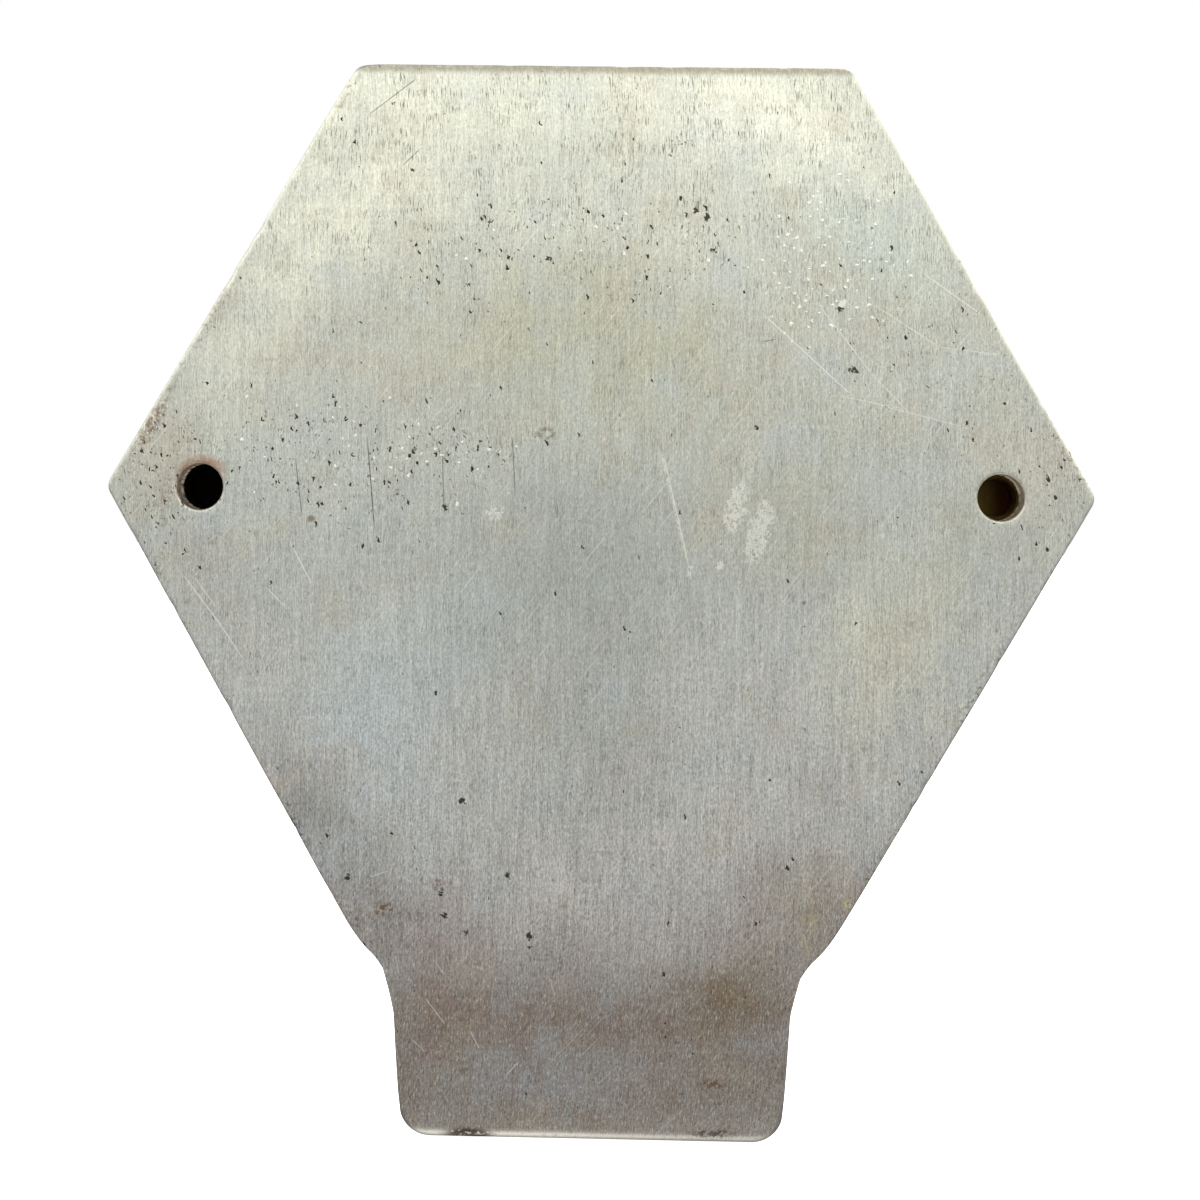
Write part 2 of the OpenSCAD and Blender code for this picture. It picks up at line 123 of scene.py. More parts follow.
def on_sheet(plan, level):
    """Plan points, across and up, set on the bent sheet's layer at a level."""
    return stand(plan[..., 0], plan[..., 1], bend(plan[..., 1], level))


def between(inner, outer, steps):
    """Grid of straight steps from one loop to another: the inner point plus a share of the way to the outer
    one."""
    return inner[None] + (outer - inner)[None] * np.asarray(steps)[:, None, None]


def arc(centre, radius, start, end, count=24):
    """Points on a circle from one angle in degrees to another."""
    angle = np.radians(np.linspace(start, end, count))
    return np.stack([centre[0] + radius * np.cos(angle), centre[1] + radius * np.sin(angle)], axis=1)


def even_steps(path, count):
    """A path's points at even steps of its length: each coordinate read off against the running length."""
    path = np.asarray(path, float)
    run = np.concatenate([[0], np.cumsum(np.hypot(*np.diff(path, axis=0).T))])
    at = np.linspace(0, run[-1], count)
    return np.stack([np.interp(at, run, path[:, 0]), np.interp(at, run, path[:, 1])], axis=1)


def rounded_profile(corners, count=6):
    """A profile of straight runs whose corners, given as radius, level and rounding, become arcs: each arc is
    the quadratic curve from the point one rounding before the corner to the point one rounding after it."""
    corners = np.asarray(corners, float)
    place, cut = corners[:, :2], corners[:, 2]
    before = np.roll(place, 1, axis=0) - place
    after = np.roll(place, -1, axis=0) - place
    before /= np.maximum(np.hypot(before[:, 0], before[:, 1]), 1e-9)[:, None]
    after /= np.maximum(np.hypot(after[:, 0], after[:, 1]), 1e-9)[:, None]
    start = place + before * cut[:, None]
    end = place + after * cut[:, None]
    share = np.linspace(0, 1, count)[None, :, None]
    rest = 1 - share
    curve = start[:, None] * rest ** 2 + 2 * place[:, None] * share * rest + end[:, None] * share ** 2
    return curve.reshape(-1, 2)


def dome(edge_r, height, level, count):
    """Profile of a domed top from its edge to its middle: an arc whose radius is the edge's radius squared
    plus the height squared, over twice the height."""
    arc_r = (edge_r ** 2 + height ** 2) / (2 * height)
    start = math.degrees(math.asin((arc_r - height) / arc_r))
    return arc((0, level + height - arc_r), arc_r, start, 90, count)


def rounded_rectangle(width, height, corner_r, inset=0.0, count=14):
    """Loop round a rectangle with rounded corners, drawn in by an inset: at each corner an arc of a quarter
    turn, and at each side steps between the arcs, with the same number of points whatever the size."""
    half = np.array([width / 2 - corner_r, height / 2 - corner_r])
    corners = [arc(half * sign, corner_r - inset, start, start - 90, count)
               for sign, start in (((1, 1), 90), ((1, -1), 0), ((-1, -1), -90), ((-1, 1), -180))]
    sides = [np.linspace(corners[k][-1], corners[(k + 1) % 4][0], 3 * count)[1:-1] for k in range(4)]
    return np.concatenate([part for pair in zip(corners, sides) for part in pair])


def revolve(profile, centre, count=96, tilt=0.0, base=None):
    """A profile of radius and level turned about an axis: across and up are the radius times the angle's
    cosine and sine. With a base point the axis leans up from the face by the tilt and starts there."""
    angle = np.linspace(0, 2 * np.pi, count, endpoint=False)[None, :]
    across = profile[:, :1] * np.cos(angle)
    up = profile[:, :1] * np.sin(angle)
    out = np.broadcast_to(profile[:, 1:], across.shape)
    if base is not None:
        up, out = (up * np.cos(tilt) + out * np.sin(tilt) + base[0],
                   out * np.cos(tilt) - up * np.sin(tilt) + base[1])
    return stand(centre[0] + across, centre[1] + up, out)


def grid_faces(rows, columns, closed_rows, closed_columns, first):
    """Quads of a grid of points held row by row: each joins a point, the next along the row and both one row
    on."""
    row = np.arange(rows if closed_rows else rows - 1)[:, None]
    column = np.arange(columns if closed_columns else columns - 1)[None, :]
    next_row, next_column = (row + 1) % rows, (column + 1) % columns
    quads = [row * columns + column, row * columns + next_column,
             next_row * columns + next_column, next_row * columns + column]
    return np.stack(quads, axis=-1).reshape(-1, 4) + first


class Surface:
    """Gathers the grids of one piece and makes its mesh."""

    def __init__(self):
        self.points, self.quads, self.depths, self.count = [], [], [], 0

    def add(self, points, closed_rows=False, closed_columns=True, inside=0.0):
        """Adds a grid of row points, shape rows by columns by three, and how deep inside a hollow each row
        lies."""
        rows, columns = points.shape[:2]
        self.quads.append(grid_faces(rows, columns, closed_rows, closed_columns, self.count))
        self.points.append(points.reshape(-1, 3))
        self.depths.append(np.broadcast_to(np.reshape(inside, (-1, 1)), (rows, columns)).ravel())
        self.count += rows * columns

    def build(self, name, material, node, sharp=38):
        """Makes the mesh, closes its seams and poles, points its faces outwards and stands it for its CAD
        node."""
        points = np.concatenate(self.points).astype(np.float32)
        quads = np.concatenate(self.quads).astype(np.int32)
        mesh = bpy.data.meshes.new(name)
        mesh.vertices.add(len(points))
        mesh.vertices.foreach_set("co", points.ravel())
        mesh.loops.add(quads.size)
        mesh.loops.foreach_set("vertex_index", quads.ravel())
        mesh.polygons.add(len(quads))
        mesh.polygons.foreach_set("loop_start", np.arange(0, quads.size, 4, dtype=np.int32))
        mesh.update(calc_edges=True)
        depth = mesh.attributes.new("inside", "FLOAT", "POINT")
        depth.data.foreach_set("value", np.concatenate(self.depths).astype(np.float32))
        work = bmesh.new()
        work.from_mesh(mesh)
        bmesh.ops.remove_doubles(work, verts=work.verts, dist=2e-6)
        bmesh.ops.recalc_face_normals(work, faces=work.faces)
        work.to_mesh(mesh)
        work.free()
        mesh.validate()
        mesh.shade_smooth()
        mesh.set_sharp_from_angle(angle=math.radians(sharp))
        mesh.materials.append(material)
        piece = bpy.data.objects.new(name, mesh)
        bpy.context.scene.collection.objects.link(piece)
        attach(piece, "root")
        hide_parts(node)


# Materials

class Nodes:
    """Short calls for the nodes of one shader tree."""

    def __init__(self, tree):
        self.tree = tree

    def put(self, socket, value):
        """Links an input to another node's output or sets its value, unless that is None. A colour is
        opaque."""
        if isinstance(value, bpy.types.NodeSocket):
            self.tree.links.new(value, socket)
        elif value is not None:
            socket.default_value = (*value, 1) if socket.type == "RGBA" else value

    def node(self, kind, *values, **settings):
        """A new node with its settings made and its first inputs filled in order."""
        made = self.tree.nodes.new("ShaderNode" + kind)
        for key, setting in settings.items():
            setattr(made, key, setting)
        for socket, value in zip(made.inputs, values):
            self.put(socket, value)
        return made

    def math(self, operation, *values):
        """One step of arithmetic."""
        return self.node("Math", *values, operation=operation).outputs[0]

    def vector(self, operation, *values, result="Vector"):
        """One step of arithmetic on places or colours."""
        return self.node("VectorMath", *values, operation=operation).outputs[result]

    def chain(self, operation, values):
        """One value made of many: each in turn is joined to what is there so far."""
        return functools.reduce(lambda so_far, value: self.math(operation, so_far, value), values)

    def add(self, *values):
        """Sum of the values."""
        return self.chain("ADD", values)

    def times(self, *values):
        """Product of the values."""
        return self.chain("MULTIPLY", values)

    def ramp(self, value, low, high, to_low=0.0, to_high=1.0):
        """Smooth step of a value from one level to another."""
        levels = (low, high, to_low, to_high)
        return self.node("MapRange", value, *levels, interpolation_type="SMOOTHSTEP").outputs[0]

    def over(self, tone, colour, *shares, kind="MIX"):
        """A colour laid over a tone by the product of its shares. The spare inputs are for other kinds of
        value."""
        share = self.times(*shares)
        spare = [None] * 5
        return self.node("Mix", share, *spare, tone, colour, data_type="RGBA", blend_type=kind).outputs[2]

    def colours(self, value, stops):
        """Colour read off a run of stops."""
        made = self.node("ValToRGB", value)
        elements = made.color_ramp.elements
        for spare in range(len(stops) - len(elements)):
            elements.new(0.5)
        for element, (place, colour) in zip(elements, stops):
            element.position = place
            element.color = (*colour, 1)
        return made.outputs["Color"]


class Finish(Nodes):
    """One procedural material. Its places are in millimetres: solid is the place in the badge, and flat is
    the place on the plan, drawn out a little where the surface turns away, with a third part of 1."""

    def __init__(self, name, sockets):
        self.material = bpy.data.materials.new(name)
        self.material.use_nodes = True
        super().__init__(self.material.node_tree)
        self.finish(sockets)
        place = self.node("TexCoord").outputs["Object"]
        self.solid = self.vector("SCALE", place, None, None, 1 / MM)
        self.x, self.y, self.z = self.node("SeparateXYZ", self.solid).outputs
        self.inside = self.node("Attribute", attribute_name="inside").outputs["Fac"]
        self.flat = self.join(self.math("MULTIPLY_ADD", self.y, 0.4, self.x),
                              self.math("MULTIPLY_ADD", self.y, 0.27, self.z))

    def finish(self, sockets):
        """Fills the shader's inputs by name and gives the material."""
        for name, value in sockets.items():
            self.put(self.tree.nodes["Principled BSDF"].inputs[name], value)
        return self.material

    def join(self, across, up):
        """A plan place of two parts, with 1 as its third."""
        return self.node("CombineXYZ", across, up, 1).outputs[0]

    def local(self, at, size, turn=0.0, vector=None):
        """Plan place measured from a point along two turned axes and divided by a size, so that 1 is a mark's
        edge. The place's third part is 1, so each is one dot product with the axis and the point's own share
        of it."""
        cos, sin = math.cos(math.radians(turn)), math.sin(math.radians(turn))
        measured = []
        for axis, length in (((cos, sin), size[0]), ((-sin, cos), size[1])):
            offset = -(at[0] * axis[0] + at[1] * axis[1])
            weights = (axis[0] / length, axis[1] / length, offset / length)
            measured.append(self.vector("DOT_PRODUCT", vector or self.flat, weights, result="Value"))
        return measured

    def stretch(self, size, turn=0.0, vector=None):
        """Plan place divided by the size of one grain, so that a pattern is that long and wide."""
        turned = (0, 0, math.radians(turn))
        grain = (*size, 1)
        made = self.node("Mapping", vector or self.flat, None, turned, grain, vector_type="TEXTURE")
        return made.outputs[0]

    def noise(self, vector, scale=1.0, detail=2.0, roughness=0.5, kind="2D"):
        """Smooth random value at a place, about a half on the whole."""
        made = self.node("TexNoise", vector, None, scale, detail, roughness, noise_dimensions=kind)
        return made.outputs["Fac"]

    def warp(self, amount, scale):
        """Plan place pushed about by noise, so that a mark drawn on it has an uneven edge."""
        push = self.node("TexNoise", self.flat, None, scale, noise_dimensions="2D").outputs["Color"]
        across, up, spare = self.node("SeparateColor", push).outputs
        pushed = self.vector("MULTIPLY_ADD", self.join(across, up), (amount, amount, 0), self.flat)
        return self.vector("SUBTRACT", pushed, (amount / 2, amount / 2, 0))

    def cells(self, vector):
        """Distance to the nearest scattered point, and two random numbers of that point's own."""
        made = self.node("TexVoronoi", vector, None, 1, voronoi_dimensions="2D")
        chance, size, spare = self.node("SeparateColor", made.outputs["Color"]).outputs
        return made.outputs["Distance"], chance, size

    def spot(self, at, size, soft=0.5, turn=0.0, vector=None):
        """One inside an oval mark, falling to none at its edge."""
        across, along = self.local(at, size, turn, vector)
        away = self.math("SQRT", self.math("MULTIPLY_ADD", along, along, self.times(across, across)))
        return self.ramp(away, 1.0, 1.0 - soft)

    def spots(self, marks, vector=None):
        """Sum of oval marks, each given as its share, place, size, softness and turn."""
        ovals = (self.times(self.spot(*oval, vector=vector), share) for share, *oval in marks)
        return self.chain("ADD", ovals)

    def scratch(self, start, end, width=0.10):
        """One along a thin straight line between two points, fading at its ends."""
        middle = ((start[0] + end[0]) / 2, (start[1] + end[1]) / 2)
        half = math.hypot(end[0] - start[0], end[1] - start[1]) / 2
        turn = math.degrees(math.atan2(end[1] - start[1], end[0] - start[0]))
        along, beside = self.local(middle, (half, width), turn)
        return self.times(self.ramp(self.math("ABSOLUTE", along), 1.0, 0.7),
                          self.ramp(self.math("ABSOLUTE", beside), 1.0, 0.2))

    def scratches(self, marks):
        """Strongest of many scratches, each given as its share, two ends and any width of its own."""
        lines = (self.times(self.scratch(*line), share) for share, *line in marks)
        return self.chain("MAXIMUM", lines)

    def bump(self, height, strength, distance):
        """Shades the surface as if it rose and fell by a height."""
        made = self.node("Bump", strength, distance, None, height)
        self.finish({"Normal": made.outputs["Normal"]})


def edge_distance(f):
    """How far in from the plate's outline a place lies: the hexagon's own distance or the tab's, whichever is
    more."""
    across = f.math("ABSOLUTE", f.x)
    up = f.math("ABSOLUTE", f.z)
    leaning = f.math("MULTIPLY_ADD", up, 0.5, f.times(across, COS_30))
    hexagon = f.math("SUBTRACT", APOTHEM, f.math("MAXIMUM", up, leaning))
    tab = f.math("MINIMUM", f.math("SUBTRACT", TAB_HALF_W, across), f.math("ADD", f.z, TAB_BOTTOM))
    return f.math("MAXIMUM", hexagon, tab)


def nickel_stains_and_highlights(f, tone):
    """Slow patches of dullness on the plate, with cream ones near the top that are painted highlights, each
    an oval with an uneven soft edge, given as its place, size, turn, colour and share."""
    place = f.warp(14.0, 0.055)
    cream, smoke, blue = (0.86, 0.86, 0.74), (0.38, 0.40, 0.37), (0.60, 0.67, 0.70)
    brown, red_brown = (0.28, 0.20, 0.11), (0.34, 0.24, 0.20)
    # The first three patches, cream and near the top, are painted highlights.
    patches = [
        ((-22, 40), (20, 7), 18, (0.93, 0.93, 0.82), 0.7), ((27, 34), (22, 13), -25, cream, 0.65),
        ((36, 22), (27, 11), -60, cream, 0.6), ((-28, 28), (19, 12), 40, (0.56, 0.65, 0.61), 0.45),
        ((2, 17), (26, 15), 0, (0.50, 0.49, 0.35), 0.6), ((5, -4), (26, 12), 0, smoke, 0.4),
        ((1, -12), (17, 14), 0, smoke, 0.5), ((0, -27), (14, 17), 0, smoke, 0.45),
        ((22, -26), (13, 22), 10, blue, 0.6), ((29, -38), (17, 8), 60, (0.28, 0.27, 0.26), 0.7),
        ((20, -47), (10, 7), 0, red_brown, 0.35), ((-32, -18), (13, 20), 0, (0.74, 0.72, 0.58), 0.6),
        ((-25, -46), (12, 10), 0, brown, 0.5), ((2, -46), (20, 7), 0, (0.72, 0.70, 0.68), 0.6),
        ((-13, -38), (12, 8), 0, (0.70, 0.68, 0.62), 0.35), ((-16, -55), (15, 9), 0, brown, 0.75),
        ((-18, 0), (13, 16), 0, (0.49, 0.48, 0.37), 0.4), ((14, -15), (9, 12), 0, (0.40, 0.44, 0.43), 0.4),
        ((31, 1), (9, 12), 0, (0.66, 0.70, 0.67), 0.3), ((17, -58), (12, 7), 0, red_brown, 0.45),
        ((1, -60), (20, 4.5), 0, red_brown, 0.4), ((4, -67), (17, 5), 0, (0.49, 0.51, 0.55), 0.55),
        ((17, -65), (8, 6), 0, red_brown, 0.35), ((-49, 0), (9, 18), 0, (0.64, 0.57, 0.46), 0.35),
        ((50, 4), (8, 13), 0, (0.60, 0.51, 0.39), 0.35), ((43, -9), (5, 9), 0, (0.48, 0.41, 0.34), 0.4),
        ((-39, -8), (6, 12), 0, (0.54, 0.53, 0.38), 0.25)]
    for at, size, turn, colour, share in patches:
        tone = f.over(tone, colour, f.spot(at, size, 1.0, turn, place), share)
    return tone


def nickel_pits(f):
    """Three patterns of small marks: pits where the plating has gone, finer specks, and blisters, whose
    brightness is a painted highlight. Each shows at the scattered points whose random number is under the
    share of them wanted at that place."""
    place = f.warp(0.55, 2.2)
    pitted = f.spots([(0.10, (3, 27), (36, 9), 0.9), (0.17, (31, 4), (27, 10), 0.9),
                      (0.05, (-36, 14), (16, 16), 0.9), (0.22, (16, 4.5), (9, 3.2), 0.9),
                      (0.22, (50, 0), (9, 11), 0.8), (0.09, (-49, 2), (8, 14), 0.8)])
    pitted = f.add(pitted, 0.012)
    away, chance, size = f.cells(f.stretch((0.46, 1.0), -20, place))
    radius = f.math("MULTIPLY_ADD", f.times(size, size), 0.24, 0.13)
    shown = f.ramp(f.math("SUBTRACT", pitted, chance), 0, 0.004)
    pit = f.times(f.ramp(f.math("DIVIDE", away, radius), 1.1, 0.7), shown)

    away, chance, spare = f.cells(f.stretch((0.34, 0.52), -12, place))
    specked = f.math("MULTIPLY_ADD", pitted, 0.9, f.spots([(0.8, (-8.4, 38.9), (2.0, 1.1), 0.6)]))
    speck = f.times(f.ramp(away, 0.26, 0.12), f.ramp(f.math("SUBTRACT", specked, chance), 0, 0.01))

    blistered = f.spots([(0.55, (-25, 25), (11, 12), 0.7), (0.14, (30, 3), (24, 11), 0.9),
                         (0.06, (4, 27), (30, 7), 0.9), (0.25, (15, 4), (9, 3.5), 0.9)])
    away, chance, size = f.cells(f.stretch((1.05, 1.05), 31, place))
    radius = f.math("MULTIPLY_ADD", size, 0.12, 0.12)
    blister_and_highlight = f.times(f.ramp(away, radius, 0.06), f.ramp(f.math("SUBTRACT", blistered, chance), 0, 0.01))
    return pit, speck, blister_and_highlight


def nickel_marks(f):
    """Single marks seen on the plate: hairlines and gouges, which are dark, and scratches and scuffs, which
    are light. A line is given as its share, two ends and any width of its own, and a gouge as its place and
    size."""
    place = f.warp(1.1, 2.6)
    dark = f.scratches([
        (0.9, (25.8, 5.6), (24.8, -4.9), 0.08), (0.75, (17.4, 4.4), (17.2, -1.9), 0.075),
        (0.75, (9.7, 6.2), (9.2, -1.0), 0.075), (0.75, (33.8, 3.4), (32.9, -3.4), 0.075),
        (0.75, (26.5, 41.5), (20.6, 46.0), 0.075), (0.75, (22.4, 36.0), (20.4, 38.0), 0.075),
        (0.75, (-18.0, 16.9), (-19.3, 17.2), 0.075)])
    gouges = [
        ((-10.3, 31.5), (0.42, 0.38)), ((-11.6, 30.7), (0.36, 0.46)), ((6.0, 25.9), (0.36, 0.4)),
        ((-28.0, 13.9), (0.7, 0.42)), ((12.5, 29.9), (0.25, 0.5)), ((17.0, -1.9), (0.32, 0.42)),
        ((-12.4, 27.0), (0.34, 0.3)), ((14.6, -34.4), (0.5, 0.3)), ((-8.5, -47.5), (0.3, 0.3)),
        ((-26.4, 20.6), (0.5, 0.3)), ((16.4, -47.2), (0.45, 0.35)), ((13.8, -49.1), (0.25, 0.4)),
        ((6.9, -49.3), (0.5, 0.4)), ((6.8, -50.6), (0.25, 0.25)), ((9.5, -42.5), (0.4, 0.35)),
        ((27.2, -43.1), (0.35, 0.5)), ((-18.2, -47.3), (0.35, 0.3)), ((16.7, -44.6), (0.35, 0.3))]
    for at, size in gouges:
        dark = f.math("MAXIMUM", dark, f.spot(at, size, 0.4, 20, place))
    light = f.scratches([
        (1.0, (-17.3, 20.6), (-28.6, 10.4), 0.085), (0.55, (-28.0, 10.8), (-41.6, 7.4)),
        (0.7, (-23.8, 21.5), (-30.4, 13.0)), (0.7, (-29.8, 13.8), (-34.5, 8.9)),
        (0.6, (-29.8, 21.4), (-37.7, 16.4)), (0.5, (-37.2, 16.6), (-44.8, 15.7)),
        (0.8, (-35.2, 25.0), (-42.6, 19.8)), (0.5, (-26.0, 11.1), (-34.0, 9.6)),
        (0.9, (46.3, -9.6), (41.6, -15.6)), (0.9, (42.6, -14.3), (39.0, -19.4)),
        (0.7, (44.9, -10.0), (42.2, -13.6)), (1.0, (34.5, -5.5), (31.5, -11.1)),
        (0.8, (37.0, -10.9), (34.5, -13.4)), (0.8, (-7.0, 4.8), (-10.2, -8.5)),
        (0.8, (-6.4, 27.2), (-5.6, 26.0)), (0.8, (18.1, -56.7), (15.6, -60.0)),
        (0.9, (12.9, -60.5), (11.6, -62.9)), (0.9, (8.5, -66.2), (7.0, -64.2)),
        (0.7, (19.4, -61.7), (17.6, -63.4)), (0.6, (4.5, -53.8), (3.6, -56.3)),
        (0.6, (24.7, -43.0), (22.5, -42.2)), (0.7, (17.3, -52.2), (16.1, -54.0)),
        (0.6, (21.4, -42.7), (20.0, -43.5)), (0.6, (21.6, -51.8), (21.1, -54.1))])
    light = f.math("MAXIMUM", light, f.spot((-26.8, 21.2), (0.6, 0.5), 0.5, 0, place))
    crossing = f.noise(f.stretch((0.12, 11.0), 38), 1, 1)
    light = f.math("MAXIMUM", light, f.times(f.ramp(crossing, 0.70, 0.76), 0.5))
    flaked = f.ramp(f.noise(f.stretch((0.30, 0.55), 0, place), 1, 3, 0.6), 0.42, 0.56, 0.15, 1.0)
    scuffed = f.spots([(1, (-15.2, -1.6), (1.7, 3.9), 0.7, 10), (1, (-17.8, -4.2), (1.7, 5.4), 0.7, 14),
                       (0.4, (-16.6, 3.4), (1.5, 4.6), 0.9, 8), (0.28, (11.4, 0.2), (4.0, 5.0), 0.9),
                       (0.5, (11.6, -2.6), (1.9, 1.5), 0.9), (1, (-13.6, -8.0), (0.6, 0.8), 0.6),
                       (1, (-10.2, -8.6), (0.4, 1.0), 0.6, 15)], place)
    scuffed = f.add(scuffed, f.scratches([(0.5, (-6.6, 5.6), (-10.2, -8.5), 0.35)]))
    return dark, f.math("MAXIMUM", light, f.ramp(f.times(flaked, scuffed), 0.12, 0.55, 0, 0.8))


def nickel_traces(f, tone, ragged):
    """Rust at the side point and over one hole, a ring stain, yellow worn away on the lower side, and the
    tab's chipped foot, along which a bright line is a painted reflection of the pale floor."""
    rusty = f.spots([(1, (49.9, 6.9), (1.3, 5.4), 0.9, 30), (0.45, (48.2, -1.2), (1.9, 3.4), 0.9),
                     (1, (23.0, -46.6), (1.6, 1.2), 0.7), (0.9, (16.9, -43.7), (1.6, 1.0), 0.7),
                     (0.3, (42.5, -5.5), (3.4, 2.0), 0.9), (0.6, (19.6, -47.2), (1.8, 1.1), 0.8),
                     (0.6, (13.0, -65.5), (1.5, 2.0), 0.9), (1, (-14.8, -66.7), (2.4, 0.9), 0.8)])
    tone = f.over(tone, (0.22, 0.12, 0.065), rusty, f.ramp(ragged, 0.42, 0.60), 0.9)
    flecks = f.ramp(f.noise(f.flat, 2.3, 2, 0.6), 0.60, 0.66)
    tone = f.over(tone, (0.95, 0.94, 0.88), f.spot((49.9, 6.9), (1.5, 5.0), 0.8, 30), flecks, 0.8)
    over_hole = f.times(f.spot((HOLE_X - 0.3, 0.75), (3.45, 3.15), 0.3), f.ramp(f.z, 0.4, 2.4))
    tone = f.over(tone, (0.46, 0.29, 0.20), over_hole, f.ramp(ragged, 0.3, 0.55), 0.85)
    ring = f.math("SUBTRACT", f.spot((5.9, 6.4), (1.3, 0.85)), f.spot((5.9, 6.4), (0.8, 0.45)))
    ring = f.add(f.times(ring, f.ramp(ragged, 0.40, 0.56)), f.spot((31.9, -3.4), (0.6, 0.5), 0.6))
    tone = f.over(tone, (0.20, 0.15, 0.08), ring, 0.7)
    yellow = f.add(f.times(f.spot((-28.3, -45.4), (0.55, 2.4), 0.8, -28), f.ramp(ragged, 0.47, 0.55)),
                   f.times(f.spot((-24.1, -46.9), (1.3, 1.8), 0.8), f.ramp(ragged, 0.42, 0.6), 0.5),
                   f.scratches([(0.5, (-23.3, -48.2), (-24.2, -51.2), 0.16)]))
    tone = f.over(tone, (0.86, 0.76, 0.30), yellow, 0.75)
    # Painted reflection: a bright line along the tab's foot.
    painted_foot_reflection = f.times(f.ramp(f.x, -16, 8, 0.45, 0.9), f.ramp(ragged, 0.28, 0.5, 0.5, 1.0))
    tone = f.over(tone, (0.97, 0.94, 0.87), f.ramp(f.z, -71.7, -72.6), painted_foot_reflection)
    plan = f.join(f.x, f.z)
    chips = f.add(f.times(f.spot((13.8, -72.7), (3.8, 1.2), 0.6, 0, plan), f.ramp(ragged, 0.36, 0.44)),
                  f.times(f.spot((-13.8, -72.0), (3.4, 0.8), 0.6, 0, plan), f.ramp(ragged, 0.42, 0.54), 0.75))
    return f.over(tone, (0.045, 0.025, 0.012), chips, 0.92)


def worn_nickel():
    """Brushed satin nickel of the plate, with its grain up the badge, pits, scratches, rust and a browned
    tab, and painted light: lighter towards the top, glints in the grain, highlights on blisters and the upper
    edges, shade along the edges, a lit bore wall and a reflection along the tab's foot."""
    f = Finish("worn_nickel", {})
    lines = f.noise(f.stretch((0.11, 2.6)), 1, 2, 0.6)
    grain = f.noise(f.stretch((0.16, 0.60)), 1, 3, 0.65)
    mottle = f.noise(f.stretch((0.24, 0.32)), 1, 2, 0.6)
    streaks = f.noise(f.stretch((0.55, 9.0)), 1, 3, 0.55)
    clouds = f.noise(f.flat, 0.16, 4, 0.6)

    # Slow changes of colour: up the badge, lighter towards the top and darker towards the foot as painted
    # light, with the tab's brown as tarnish; in patches, some of them painted highlights; and in clouds
    badge_h, foot_depth = 121, 73.3
    height = f.math("MULTIPLY_ADD", f.z, 1 / badge_h, foot_depth / badge_h)
    tone = f.colours(height, [
        (0.0, (0.40, 0.36, 0.315)), (0.13, (0.405, 0.355, 0.315)), (0.21, (0.55, 0.515, 0.49)),
        (0.28, (0.59, 0.575, 0.55)), (0.42, (0.605, 0.605, 0.575)), (0.53, (0.555, 0.572, 0.535)),
        (0.62, (0.565, 0.58, 0.53)), (0.77, (0.585, 0.59, 0.52)), (0.84, (0.66, 0.67, 0.59)),
        (0.89, (0.71, 0.72, 0.635)), (1.0, (0.69, 0.70, 0.615))])
    tone = nickel_stains_and_highlights(f, tone)
    tone = f.over(tone, (0.50, 0.52, 0.50), f.ramp(clouds, 0.35, 0.65, 0, 0.30))
    warm = f.noise(f.flat, 0.11, 4, 0.65)
    tone = f.over(tone, (0.56, 0.50, 0.40), f.ramp(warm, 0.52, 0.72, 0, 0.35))
    tone = f.over(tone, (0.55, 0.60, 0.63), f.ramp(warm, 0.48, 0.28, 0, 0.30))

    # Grain of the brushing, stronger and browner on the tab, with dark dashes and bright dashes that are a
    # painted glint
    uneven = f.add(f.times(lines, 0.4), f.times(grain, 0.75), f.times(mottle, 0.5), f.times(streaks, 0.4),
                   -1.025)
    shade = f.math("MULTIPLY_ADD", uneven, f.ramp(f.z, 0, -60, 1.0, 1.7), 1.0)
    grey = f.node("CombineColor", shade, shade, shade).outputs[0]
    tone = f.over(tone, grey, 1.0, kind="MULTIPLY")
    browned = f.times(f.ramp(streaks, 0.48, 0.66), f.ramp(grain, 0.42, 0.60), f.ramp(f.z, -50, -58), 0.7)
    tone = f.over(tone, (0.20, 0.12, 0.06), browned)
    # Painted glint: bright dashes in the grain, more of them towards the foot.
    painted_glint = f.ramp(f.noise(f.stretch((0.14, 0.9)), 1.13, 2, 0.6), 0.60, 0.70)
    tone = f.over(tone, (0.95, 0.94, 0.88), painted_glint, f.ramp(f.z, -20, -60, 0.25, 0.55))
    upper = f.ramp(f.z, 15, 42, 0.52, 1.0)
    gathered = f.ramp(f.noise(f.flat, 0.24, 3, 0.6), 0.38, 0.62, 0.25, 1.0)
    dash = f.ramp(f.noise(f.stretch((0.11, 1.5)), 1, 2, 0.6), 0.595, 0.645)
    tone = f.over(tone, (0.17, 0.155, 0.115), dash, upper, gathered, 0.95)

    # Small marks
    pit, speck, blister_and_highlight = nickel_pits(f)
    dark, light = nickel_marks(f)
    tone = f.over(tone, (0.92, 0.91, 0.84), light, 0.75)
    tone = f.over(tone, (0.10, 0.09, 0.06), speck, 0.75)
    tone = f.over(tone, (0.035, 0.030, 0.018), f.math("MAXIMUM", pit, dark), 0.93)
    # Painted highlight: blisters made near white.
    tone = f.over(tone, (1.0, 0.99, 0.93), blister_and_highlight, 0.85)

    # Edges: darkened by dirt and by painted shade, with a painted highlight on the upper ones; and the bores
    edge = edge_distance(f)
    ragged = f.noise(f.flat, 1.7, 4, 0.7)
    patchy = f.ramp(f.noise(f.flat, 0.09, 3, 0.6), 0.50, 0.66)
    grime_and_edge_shade = f.times(f.ramp(edge, 1.6, 0.1), f.ramp(ragged, 0.53, 0.62), patchy, 0.8)
    # Darkening near the outline: patchy dirt together with painted shade on the rounded edge.
    tone = f.over(tone, (0.15, 0.12, 0.08), grime_and_edge_shade)
